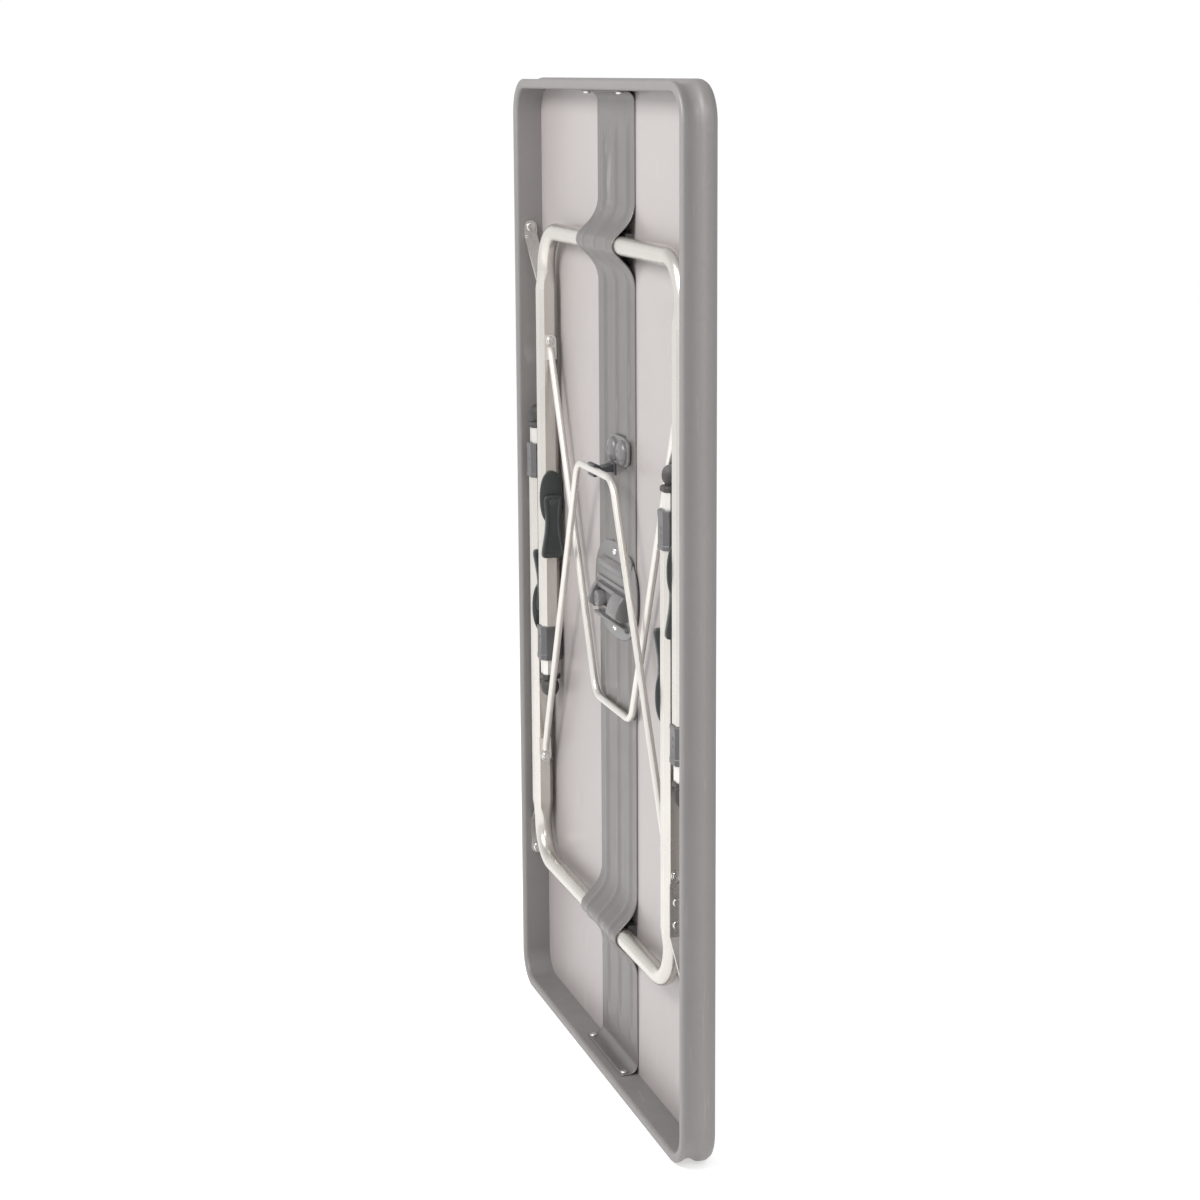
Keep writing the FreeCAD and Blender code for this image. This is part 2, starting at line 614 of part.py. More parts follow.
def stay(bar_level):
    """Trapezoid rod with flattened ends, about its rivets, in frame places.

    The narrow bar is centred on the table, so the two arms differ a little.
    """
    face = FRAME_HALF - LEG_ACROSS / 2 - STAY_SIDE_GAP
    rod_x = face - STAY_ROD / 2
    points = [
        Vec(-rod_x, 0, -STAY_END_LEAD), Vec(-rod_x, 0, -STAY_END_STRAIGHT),
        Vec(-STAY_BAR_HALF - FRAME_OFFSET, 0, -STAY_LENGTH),
        Vec(STAY_BAR_HALF - FRAME_OFFSET, 0, -STAY_LENGTH),
        Vec(rod_x, 0, -STAY_END_STRAIGHT), Vec(rod_x, 0, -STAY_END_LEAD),
    ]
    path = smooth_path(points, [STAY_END_BEND, STAY_BEND, STAY_BEND, STAY_END_BEND])
    ring = Part.Wire([Part.makeCircle(STAY_ROD / 2, points[0], UP)])
    rod = path.makePipeShell([ring], True, True)
    for side in (-1, 1):
        plate_x = side * face
        plate = Part.makeBox(STAY_END_THICK, STAY_END_WIDTH, STAY_END_LONG,
                             Vec(0, -STAY_END_WIDTH / 2, -STAY_END_LONG))
        plate = plate.fuse(Part.makeCylinder(STAY_END_WIDTH / 2, STAY_END_THICK, Vec(0, 0, 0), ACROSS))
        plate = moved(plate.removeSplitter(), plate_x if side < 0 else plate_x - STAY_END_THICK, 0, 0)
        rod = rod.fuse(plate)
        rod = rod.cut(rod_across(RIVET_SHANK / 2 + PIN_GAP, plate_x - RIVET_HEAD, plate_x + RIVET_HEAD, 0))
    tilt = math.degrees(math.asin((AXIS_HEIGHT - bar_level) / STAY_LENGTH))
    rod.rotate(Vec(0, 0, 0), ACROSS, tilt)
    return at_hinge(moved(rod, 0, 0, -STAY_PIVOT))


# ---------------------------------------------------------------- centre rib
def rib_path():
    """Underside of the rib seen from the side, as points and bend radii (y, z)."""
    low = WALL_INSET
    high = TABLE_LENGTH - WALL_INSET
    tip_y = UNDER_Y - RIB_FLANGE
    crest = CROSS_TUBE / 2 + RUN_GAP + 0.1
    peak_y = AXIS_Y - crest * math.sqrt(2)
    spread = UNDER_Y - peak_y
    points = [Vec(0, tip_y, low), Vec(0, UNDER_Y, low)]
    radii = [RIB_END_BEND]
    for z in (AXIS_INSET, UPPER_AXIS_Z):
        points += [Vec(0, UNDER_Y, z - spread), Vec(0, peak_y, z), Vec(0, UNDER_Y, z + spread)]
        radii += [ARCH_FOOT_BEND, crest, ARCH_FOOT_BEND]
    points += [Vec(0, UNDER_Y, high), Vec(0, tip_y, high)]
    radii += [RIB_END_BEND]
    return points, radii


def offset_strip(points, radii, thick, x_from, x_to):
    """Sheet of even thickness on the open side of the path."""
    outer = []
    for i, p in enumerate(points):
        back = (points[i - 1] - p).normalize() if i else None
        ahead = (points[i + 1] - p).normalize() if i + 1 < len(points) else None
        run = ahead if back is None else back * -1
        normal_a = Vec(0, -run.z, run.y)
        normal_b = Vec(0, -ahead.z, ahead.y) if ahead is not None else normal_a
        mean = (normal_a + normal_b).normalize()
        outer.append(p + mean * (thick / mean.dot(normal_a)))
    outer_radii = []
    for i, r in enumerate(radii):
        a = points[i + 1] - points[i]
        b = points[i + 2] - points[i + 1]
        turns_open = (a.y * b.z - a.z * b.y) > 0
        outer_radii.append(r - thick if turns_open else r + thick)
    inside = smooth_path(points, radii)
    outside = smooth_path(outer, outer_radii)
    ends = [Part.makeLine(points[0], outer[0]), Part.makeLine(points[-1], outer[-1])]
    face = Part.Face(Part.Wire(Part.__sortEdges__(inside.Edges + outside.Edges + ends)))
    return moved(face.extrude(ACROSS * (x_to - x_from)), x_from, 0, 0)


def rib():
    points, radii = rib_path()
    half = RIB_WIDTH / 2
    strip = offset_strip(points, radii, RIB_SHEET, -half, half)
    for x in RIB_RIDGES_AT:
        ridge_half = RIB_RIDGE_WIDE / 2
        strip = strip.fuse(offset_strip(points, radii, RIB_SHEET + RIB_RIDGE, x - ridge_half, x + ridge_half))
    for x in (-RIB_SCREW_AT, RIB_SCREW_AT):
        for z in (0, TABLE_LENGTH):
            low = z - 2 * WALL_INSET
            strip = strip.cut(Part.makeCylinder(SMALL_SCREW / 2, 4 * WALL_INSET, Vec(x, AXIS_Y, low), UP))
    for z in BRACKET_SCREW_Z:
        start = Vec(0, RIB_TOP_Y - 2 * RIB_SHEET, z)
        strip = strip.cut(Part.makeCylinder(SMALL_SCREW / 2, 4 * RIB_SHEET, start, INTO))
    return strip.removeSplitter()


def screw(at, direction, length):
    """Round-headed screw; `at` is on the surface under its head."""
    shank = Part.makeCylinder(SMALL_SCREW / 2, length, at, direction)
    head = Part.makeCylinder(SMALL_HEAD / 2, SMALL_HEAD_THICK, at - direction * SMALL_HEAD_THICK, direction)
    top = at - direction * SMALL_HEAD_THICK
    rim_edges = [e for e in head.Edges if (e.CenterOfMass - top).Length < 0.01]
    return head.makeFillet(SCREW_ROUND, rim_edges).fuse(shank)


def rib_screws():
    parts = []
    for x in (-RIB_SCREW_AT, RIB_SCREW_AT):
        low = Vec(x, AXIS_Y, WALL_INSET + RIB_SHEET)
        high = Vec(x, AXIS_Y, TABLE_LENGTH - WALL_INSET - RIB_SHEET)
        parts.append(screw(low, UP * -1, RIB_SHEET))
        parts.append(screw(high, UP, RIB_SHEET))
    return Part.makeCompound(parts)


# -------------------------------------------------------------- hinge saddle
def hinge_saddle():
    """Plastic block under the cross tube, inside the rib's arch."""
    block = Part.makeBox(SADDLE_LONG, SADDLE_HIGH, SADDLE_WIDE,
                         Vec(-SADDLE_LONG / 2, UNDER_Y - SADDLE_HIGH, UPPER_AXIS_Z - SADDLE_WIDE / 2))
    seat = Part.makeCylinder(CROSS_TUBE / 2 + RUN_GAP, SADDLE_LONG + 2,
                             Vec(-SADDLE_LONG / 2 - 1, AXIS_Y, UPPER_AXIS_Z), ACROSS)
    return block.cut(seat)


# ------------------------------------------------------------ centre bracket
def seat_distance(bar_level):
    """Bar from the fold axis along the table once its legs stand open."""
    rise = STAY_PIVOT + AXIS_HEIGHT - bar_level
    return math.sqrt(STAY_LENGTH ** 2 - rise ** 2)


def bracket_block(profile):
    """Raised block across the plate, from its (y, z) outline."""
    half = BRACKET_BLOCK_HALF
    return polygon_face([(-half, y, z) for y, z in profile]).extrude(ACROSS * (2 * half))


def bracket():
    """Oval plate with a seat for each stay's bar: a ramp, and a flat with a stop."""
    middle_z = TABLE_LENGTH / 2
    plate_y = RIB_TOP_Y - BRACKET_PLATE
    oval = Part.Face(Part.Wire([Part.Ellipse(Vec(0, 0, 0), BRACKET_ACROSS / 2, BRACKET_ALONG / 2).toShape()]))
    oval.rotate(Vec(0, 0, 0), ACROSS, 90)
    plate = moved(oval.extrude(INTO * BRACKET_PLATE), 0, plate_y, middle_z)
    plate = plate.makeFillet(BRACKET_ROUND, [e for e in plate.Edges if e.BoundBox.YMax < plate_y + 0.01])
    reach = STAY_ROD / 2 + RUN_GAP
    root_y = plate_y + BLOCK_ROOT
    upper_z = UPPER_AXIS_Z - seat_distance(UPPER_SEAT)
    lower_z = AXIS_INSET + seat_distance(LOWER_SEAT)
    upper_y = UNDER_Y - UPPER_SEAT
    ramp_block = bracket_block([
        (root_y, lower_z - RAMP_HIGH_AT - BLOCK_SIDE),
        (UNDER_Y - RAMP_HIGH, lower_z - RAMP_HIGH_AT),
        (UNDER_Y - RAMP_LOW, lower_z + RAMP_LOW_AT),
        (root_y, lower_z + RAMP_LOW_AT + BLOCK_SIDE),
    ])
    upper_stop = bracket_block([
        (root_y, upper_z + reach),
        (upper_y, upper_z + reach),
        (upper_y - STOP_OVER, upper_z + reach + STOP_LEAN),
        (upper_y - STOP_OVER, upper_z + reach + STOP_WIDE),
        (root_y, upper_z + reach + STOP_FOOT),
    ])
    body = plate.fuse([ramp_block, upper_stop]).removeSplitter()
    low_z = middle_z - BRACKET_ALONG / 2
    for x in RIB_RIDGES_AT:
        corner = Vec(x - RIB_RIDGE_WIDE / 2, RIB_TOP_Y - RIB_RIDGE, low_z)
        body = body.cut(Part.makeBox(RIB_RIDGE_WIDE, RIB_RIDGE, BRACKET_ALONG, corner))
    for z in BRACKET_SCREW_Z:
        start = Vec(0, plate_y - BRACKET_PLATE, z)
        body = body.cut(Part.makeCylinder(SMALL_SCREW / 2, 3 * BRACKET_PLATE, start, INTO))
    return body


def bracket_screws():
    under_head = RIB_TOP_Y - BRACKET_PLATE
    length = BRACKET_PLATE + RIB_SHEET
    return Part.makeCompound([screw(Vec(0, under_head, z), INTO, length) for z in BRACKET_SCREW_Z])


# --------------------------------------------------------------- stowing clip
def clip_base():
    """Plate with two low domes beside the hook that takes the folded stay."""
    ridge_y = RIB_TOP_Y - RIB_RIDGE
    low_z = CLIP_BASE_Z
    half = CLIP_PLATE_WIDE / 2
    r = CLIP_PLATE_HIGH / 2
    middle_z = low_z + r
    plate = Part.makeBox(CLIP_PLATE_WIDE - CLIP_PLATE_HIGH, CLIP_PLATE_THICK, CLIP_PLATE_HIGH,
                         Vec(CLIP_PLATE_AT - half + r, ridge_y - CLIP_PLATE_THICK, low_z))
    solids = []
    for side in (-1, 1):
        at = Vec(CLIP_PLATE_AT + side * (half - r), ridge_y, middle_z)
        solids.append(Part.makeCylinder(r, CLIP_PLATE_THICK, at, INTO * -1))
        top = at - INTO * CLIP_PLATE_THICK
        dome = Part.makeCylinder(CLIP_DOME, CLIP_DOME_HIGH, top, INTO * -1)
        edge = [e for e in dome.Edges if e.BoundBox.YMax < top.y - CLIP_DOME_HIGH + 0.01]
        solids.append(dome.makeFillet(CLIP_DOME_ROUND, edge))
    return plate.fuse(solids).removeSplitter()


def clip_hook():
    """U-shaped hook round the folded stay's bar, open away from the board."""
    ridge_y = RIB_TOP_Y - RIB_RIDGE
    bar_y = UNDER_Y - LOWER_STAY_STOW
    inner = STAY_ROD / 2 + RUN_GAP
    outer = inner + CLIP_WALL
    mouth_y = bar_y - CLIP_MOUTH
    low = CLIP_HOOK_AT - CLIP_HOOK_WIDE / 2
    block = Part.makeBox(CLIP_HOOK_WIDE, ridge_y - mouth_y, 2 * outer, Vec(low, mouth_y, STOW_Z - outer))
    bore = Part.makeCylinder(inner, CLIP_HOOK_WIDE, Vec(low, bar_y, STOW_Z), ACROSS)
    slot = Part.makeBox(CLIP_HOOK_WIDE, inner, 2 * inner, Vec(low, bar_y - inner, STOW_Z - inner))
    return block.cut(bore).cut(slot)


# -------------------------------------------------------------- pivot screws
def pivot_screws():
    """Screws on the fold axes, from inside the tray into the rim's walls."""
    parts = []
    for side in (-1, 1):
        for z in (AXIS_INSET, UPPER_AXIS_Z):
            under_head = WALL_X - STRAP_GAP - STRAP_THICK - RUN_GAP
            outer_end = WALL_X + 3 * RIM_WALL
            shank = Part.makeCylinder(PIVOT_SCREW / 2, outer_end - under_head,
                                      Vec(side * under_head, AXIS_Y, z), ACROSS * side)
            head = Part.makeCylinder(PIVOT_HEAD / 2, PIVOT_HEAD_THICK,
                                     Vec(side * under_head, AXIS_Y, z), ACROSS * -side)
            top_x = side * (under_head - PIVOT_HEAD_THICK)
            parts.append(head.makeFillet(SCREW_ROUND, edges_at(head, top_x)).fuse(shank))
    return Part.makeCompound(parts)


# ----------------------------------------------------------------- build all
os.makedirs("parts", exist_ok=True)

save(board_layer(CORE_TOP_Y, TOP_SKIN_Y, TOP_FLANGE_REACH + FACE_SKIN_GAP), "tabletop_skin")
save(board_layer(CORE_UNDER_Y, CORE_TOP_Y, BOARD_INSET), "tabletop_core")
save(board_layer(UNDER_Y, CORE_UNDER_Y, BOARD_INSET), "underside_skin")
save(rim(), "rim")
save(rib(), "centre_rib")
save(rib_screws(), "rib_screws")
save(hinge_saddle(), "hinge_saddle_upper")
save(turned(hinge_saddle()), "hinge_saddle_lower")
save(bracket(), "centre_bracket")
save(bracket_screws(), "bracket_screws")
save(clip_base(), "stow_clip_base")
save(clip_hook(), "stow_clip_hook")
save(pivot_screws(), "pivot_screws")

save_pair(at_hinge(frame_tube()), "upper_leg_tube")
save_pair(at_hinge(strap_rivets()), "upper_strap_rivets")
save_pair(at_hinge(stay_rivets()), "upper_stay_rivets")
for name, side in (("left", -1), ("right", 1)):
    leg_x = side * FRAME_HALF
    inward = -side
    save_pair(at_hinge(strap(side)), "upper_strap_" + name)
    save_pair(at_hinge(moved(collar(), leg_x, 0, 0)), "upper_collar_" + name)
    save_pair(at_hinge(moved(inner_tube(), leg_x, 0, 0)), "upper_inner_tube_" + name)
    save_pair(at_hinge(moved(foot(), leg_x, 0, 0)), "upper_foot_" + name)
    save_pair(at_hinge(moved(clamp_base(inward), leg_x, 0, 0)), "upper_clamp_base_" + name)
    save_pair(at_hinge(moved(clamp_lever(inward), leg_x, 0, 0)), "upper_lever_" + name)
    save_pair(at_hinge(moved(clamp_bolt(inward), leg_x, 0, 0)), "upper_clamp_bolt_" + name)

save(stay(UPPER_STAY_STOW), "upper_stay")
save(turned(stay(LOWER_STAY_STOW)), "lower_stay")
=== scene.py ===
import json
import math

import bmesh
import bpy
from mathutils import Matrix, Vector


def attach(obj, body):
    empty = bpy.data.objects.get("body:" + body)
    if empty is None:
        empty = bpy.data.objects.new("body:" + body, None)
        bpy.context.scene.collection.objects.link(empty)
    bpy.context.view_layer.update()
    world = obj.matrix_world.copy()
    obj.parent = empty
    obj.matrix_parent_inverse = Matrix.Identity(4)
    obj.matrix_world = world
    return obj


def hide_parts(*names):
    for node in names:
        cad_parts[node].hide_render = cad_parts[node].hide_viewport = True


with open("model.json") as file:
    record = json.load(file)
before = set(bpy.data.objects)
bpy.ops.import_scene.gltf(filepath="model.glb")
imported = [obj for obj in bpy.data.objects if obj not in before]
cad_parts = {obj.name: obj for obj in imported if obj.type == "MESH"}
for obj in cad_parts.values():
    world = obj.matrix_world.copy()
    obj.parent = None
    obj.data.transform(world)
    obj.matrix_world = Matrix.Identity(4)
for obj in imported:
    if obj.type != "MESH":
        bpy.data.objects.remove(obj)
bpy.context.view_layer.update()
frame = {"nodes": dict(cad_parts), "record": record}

MM = 0.001
X_WAY = Vector((1, 0, 0))
Y_WAY = Vector((0, 1, 0))
Z_WAY = Vector((0, 0, 1))

# ----------------------------------------------- sizes shared with the frame
LENGTH = 1100 * MM
UNDERSIDE = 13.0 * MM            # the board's underside
AXIS_Y = -2.0 * MM               # both fold axes
AXIS_INSET = 172 * MM            # each fold axis from its short edge
FRAME_HALF = 237 * MM            # a leg frame's middle to its legs' centre lines
FRAME_SHIFT = 18 * MM            # the frames sit this far off the middle, opposite ways


# ---------------------------------------------------------------- materials
# Sockets of a Mix node that mixes colours.
MIX_FACTOR, MIX_A, MIX_B, MIX_RESULT = 0, 6, 7, 2


def new_group(name, inputs, outputs):
    tree = bpy.data.node_groups.new(name, "ShaderNodeTree")
    for label, kind, value in inputs:
        socket = tree.interface.new_socket(label, in_out="INPUT", socket_type="NodeSocket" + kind)
        if value is not None:
            socket.default_value = value
    for label, kind in outputs:
        tree.interface.new_socket(label, in_out="OUTPUT", socket_type="NodeSocket" + kind)
    return tree, tree.nodes.new("NodeGroupInput"), tree.nodes.new("NodeGroupOutput")


def math_node(tree, operation, a, b, clamp=False):
    node = tree.nodes.new("ShaderNodeMath")
    node.operation = operation
    node.use_clamp = clamp
    for i, v in enumerate((a, b)):
        if isinstance(v, (int, float)):
            node.inputs[i].default_value = v
        else:
            tree.links.new(v, node.inputs[i])
    return node.outputs[0]


def noise_node(tree, vector, scale, detail=3.0, roughness=0.5):
    node = tree.nodes.new("ShaderNodeTexNoise")
    tree.links.new(vector, node.inputs["Vector"])
    node.inputs["Detail"].default_value = detail
    node.inputs["Roughness"].default_value = roughness
    if isinstance(scale, (int, float)):
        node.inputs["Scale"].default_value = scale
    else:
        tree.links.new(scale, node.inputs["Scale"])
    return node.outputs["Fac"]


def range_node(tree, value, low, high, to_low=0.0, to_high=1.0):
    node = tree.nodes.new("ShaderNodeMapRange")
    tree.links.new(value, node.inputs["Value"])
    for label, v in (("From Min", low), ("From Max", high), ("To Min", to_low), ("To Max", to_high)):
        if isinstance(v, (int, float)):
            node.inputs[label].default_value = v
        else:
            tree.links.new(v, node.inputs[label])
    return node.outputs["Result"]


def mix_node(tree, factor, a, b, blend="MIX"):
    node = tree.nodes.new("ShaderNodeMix")
    node.data_type = "RGBA"
    node.blend_type = blend
    for i, v in ((MIX_FACTOR, factor), (MIX_A, a), (MIX_B, b)):
        if isinstance(v, (int, float, tuple)):
            node.inputs[i].default_value = v
        else:
            tree.links.new(v, node.inputs[i])
    return node.outputs[MIX_RESULT]


def make_tone_group():
    """Slow patches in the colour and the sheen, and a fine skin."""
    smears_per_patch = 3.7
    tree, given, out = new_group(
        "uneven_tone",
        [("Vector", "Vector", None), ("Colour", "Color", (0.5, 0.5, 0.5, 1)), ("Patch Scale", "Float", 9.0),
         ("Patch Amount", "Float", 0.06), ("Roughness", "Float", 0.5), ("Sheen Amount", "Float", 0.12),
         ("Skin Scale", "Float", 900.0)],
        [("Colour", "Color"), ("Roughness", "Float"), ("Height", "Float")])
    where = given.outputs["Vector"]
    patch = noise_node(tree, where, given.outputs["Patch Scale"], 4.0, 0.6)
    darker = math_node(tree, "SUBTRACT", 1.0, given.outputs["Patch Amount"])
    lighter = math_node(tree, "ADD", 1.0, given.outputs["Patch Amount"])
    tone = range_node(tree, patch, 0.3, 0.7, darker, lighter)
    grey = tree.nodes.new("ShaderNodeCombineColor")
    for channel in grey.inputs:
        tree.links.new(tone, channel)
    shade = mix_node(tree, 1.0, given.outputs["Colour"], grey.outputs[0], "MULTIPLY")
    tree.links.new(shade, out.inputs["Colour"])
    smear_scale = math_node(tree, "MULTIPLY", given.outputs["Patch Scale"], smears_per_patch)
    smear = math_node(tree, "SUBTRACT", noise_node(tree, where, smear_scale), 0.5)
    swing = math_node(tree, "MULTIPLY", smear, given.outputs["Sheen Amount"])
    gloss = math_node(tree, "ADD", given.outputs["Roughness"], swing, True)
    tree.links.new(gloss, out.inputs["Roughness"])
    skin = noise_node(tree, where, given.outputs["Skin Scale"], 2.0)
    tree.links.new(skin, out.inputs["Height"])
    return tree


def make_scratch_group():
    """Sparse hair scratches that run mostly two ways, broken off in places."""
    first_way = (0.2, (1.0, 9.0, 0.25))
    second_way = (1.1, (8.0, 1.0, 0.3))
    break_scale = 14.0
    tree, given, out = new_group(
        "hair_scratches",
        [("Vector", "Vector", None), ("Scale", "Float", 60.0), ("Amount", "Float", 0.5)],
        [("Mask", "Float")])
    where = given.outputs["Vector"]
    masks = []
    for turn, stretch in (first_way, second_way):
        place = tree.nodes.new("ShaderNodeMapping")
        tree.links.new(where, place.inputs["Vector"])
        place.inputs["Rotation"].default_value = (turn, turn * 0.4, turn * 0.7)
        place.inputs["Scale"].default_value = stretch
        lines = noise_node(tree, place.outputs[0], given.outputs["Scale"], 2.0, 0.45)
        masks.append(range_node(tree, lines, 0.68, 0.74))
    both = math_node(tree, "MAXIMUM", *masks)
    breaks = range_node(tree, noise_node(tree, where, break_scale, 3.0), 0.45, 0.62)
    broken = math_node(tree, "MULTIPLY", both, breaks)
    mask = math_node(tree, "MULTIPLY", broken, given.outputs["Amount"])
    tree.links.new(mask, out.inputs["Mask"])
    return tree


def make_edge_group():
    """Where corners have rubbed: strong on sharp edges, broken up by noise."""
    break_scale = 85.0
    tree, given, out = new_group(
        "rubbed_edges",
        [("Vector", "Vector", None), ("Reach", "Float", 0.0008), ("Amount", "Float", 0.5)],
        [("Mask", "Float")])
    soft = tree.nodes.new("ShaderNodeBevel")
    soft.samples = 4
    tree.links.new(given.outputs["Reach"], soft.inputs["Radius"])
    true = tree.nodes.new("ShaderNodeNewGeometry")
    dot = tree.nodes.new("ShaderNodeVectorMath")
    dot.operation = "DOT_PRODUCT"
    tree.links.new(soft.outputs[0], dot.inputs[0])
    tree.links.new(true.outputs["Normal"], dot.inputs[1])
    edge = range_node(tree, dot.outputs["Value"], 0.99, 0.8)
    breaks = range_node(tree, noise_node(tree, given.outputs["Vector"], break_scale, 4.0, 0.65), 0.42, 0.6)
    broken = math_node(tree, "MULTIPLY", edge, breaks)
    worn = math_node(tree, "MULTIPLY", broken, given.outputs["Amount"])
    tree.links.new(worn, out.inputs["Mask"])
    return tree


def make_dust_group():
    """Thin dust on surfaces that look up, and in broad drifts."""
    drift_scale = 24.0
    dust_colour = (0.58, 0.55, 0.52, 1)
    tree, given, out = new_group(
        "settled_dust",
        [("Vector", "Vector", None), ("Colour", "Color", (0.5, 0.5, 0.5, 1)), ("Amount", "Float", 0.2)],
        [("Colour", "Color")])
    true = tree.nodes.new("ShaderNodeNewGeometry")
    split = tree.nodes.new("ShaderNodeSeparateXYZ")
    tree.links.new(true.outputs["Normal"], split.inputs[0])
    up = range_node(tree, split.outputs["Z"], 0.1, 0.9, 0.25, 1.0)
    drift = range_node(tree, noise_node(tree, given.outputs["Vector"], drift_scale, 5.0, 0.6), 0.4, 0.75)
    settled = math_node(tree, "MULTIPLY", up, drift)
    factor = math_node(tree, "MULTIPLY", settled, given.outputs["Amount"])
    shade = mix_node(tree, factor, given.outputs["Colour"], dust_colour)
    tree.links.new(shade, out.inputs["Colour"])
    return tree


TONE = make_tone_group()
SCRATCHES = make_scratch_group()
EDGES = make_edge_group()
DUST = make_dust_group()
GRAIN_GLOSS = 0.2                # how far the grain swings the roughness


def place_group(tree, group, links, values):
    node = tree.nodes.new("ShaderNodeGroup")
    node.node_tree = group
    for label, socket in links.items():
        tree.links.new(socket, node.inputs[label])
    for label, v in values.items():
        node.inputs[label].default_value = v
    return node.outputs


def finish_material(name, colour, roughness, metal=0.0, patch=(9.0, 0.05), sheen=0.12, skin=(900.0, 0.00002),
                    scratch=(60.0, 0.0), scratch_tone=(0.7, 0.69, 0.68), edge=0.0,
                    edge_tone=(0.6, 0.59, 0.58), dust=0.0, grain=None):
    """One finish. Patch and scratch are (scale, amount), skin (scale, depth), grain (stretch, amount)."""
    material = bpy.data.materials.new(name)
    material.use_nodes = True
    tree = material.node_tree
    surface = tree.nodes["Principled BSDF"]
    where = tree.nodes.new("ShaderNodeTexCoord").outputs["Object"]
    tone = place_group(tree, TONE, {"Vector": where}, {
        "Colour": (*colour, 1), "Patch Scale": patch[0], "Patch Amount": patch[1],
        "Roughness": roughness, "Sheen Amount": sheen, "Skin Scale": skin[0]})
    shade = tone["Colour"]
    gloss = tone["Roughness"]
    height = tone["Height"]
    if scratch[1]:
        scratches = place_group(
            tree, SCRATCHES, {"Vector": where}, {"Scale": scratch[0], "Amount": scratch[1]})
        shade = mix_node(tree, scratches["Mask"], shade, (*scratch_tone, 1))
        height = math_node(tree, "SUBTRACT", height, scratches["Mask"])
    if grain:
        stretch = tree.nodes.new("ShaderNodeMapping")
        stretch.inputs["Scale"].default_value = grain[0]
        tree.links.new(where, stretch.inputs["Vector"])
        lines = noise_node(tree, stretch.outputs[0], 1.0, 3.0, 0.6)
        height = math_node(tree, "ADD", height, math_node(tree, "MULTIPLY", lines, grain[1]))
        uneven = math_node(tree, "MULTIPLY", math_node(tree, "SUBTRACT", lines, 0.5), GRAIN_GLOSS)
        gloss = math_node(tree, "ADD", gloss, uneven, True)
    if edge:
        rubbed = place_group(tree, EDGES, {"Vector": where}, {"Amount": edge})
        shade = mix_node(tree, rubbed["Mask"], shade, (*edge_tone, 1))
    if dust:
        shade = place_group(tree, DUST, {"Vector": where, "Colour": shade}, {"Amount": dust})["Colour"]
    bump = tree.nodes.new("ShaderNodeBump")
    bump.inputs["Distance"].default_value = skin[1]
    tree.links.new(height, bump.inputs["Height"])
    tree.links.new(bump.outputs[0], surface.inputs["Normal"])
    tree.links.new(shade, surface.inputs["Base Color"])
    tree.links.new(gloss, surface.inputs["Roughness"])
    surface.inputs["Metallic"].default_value = metal
    return material


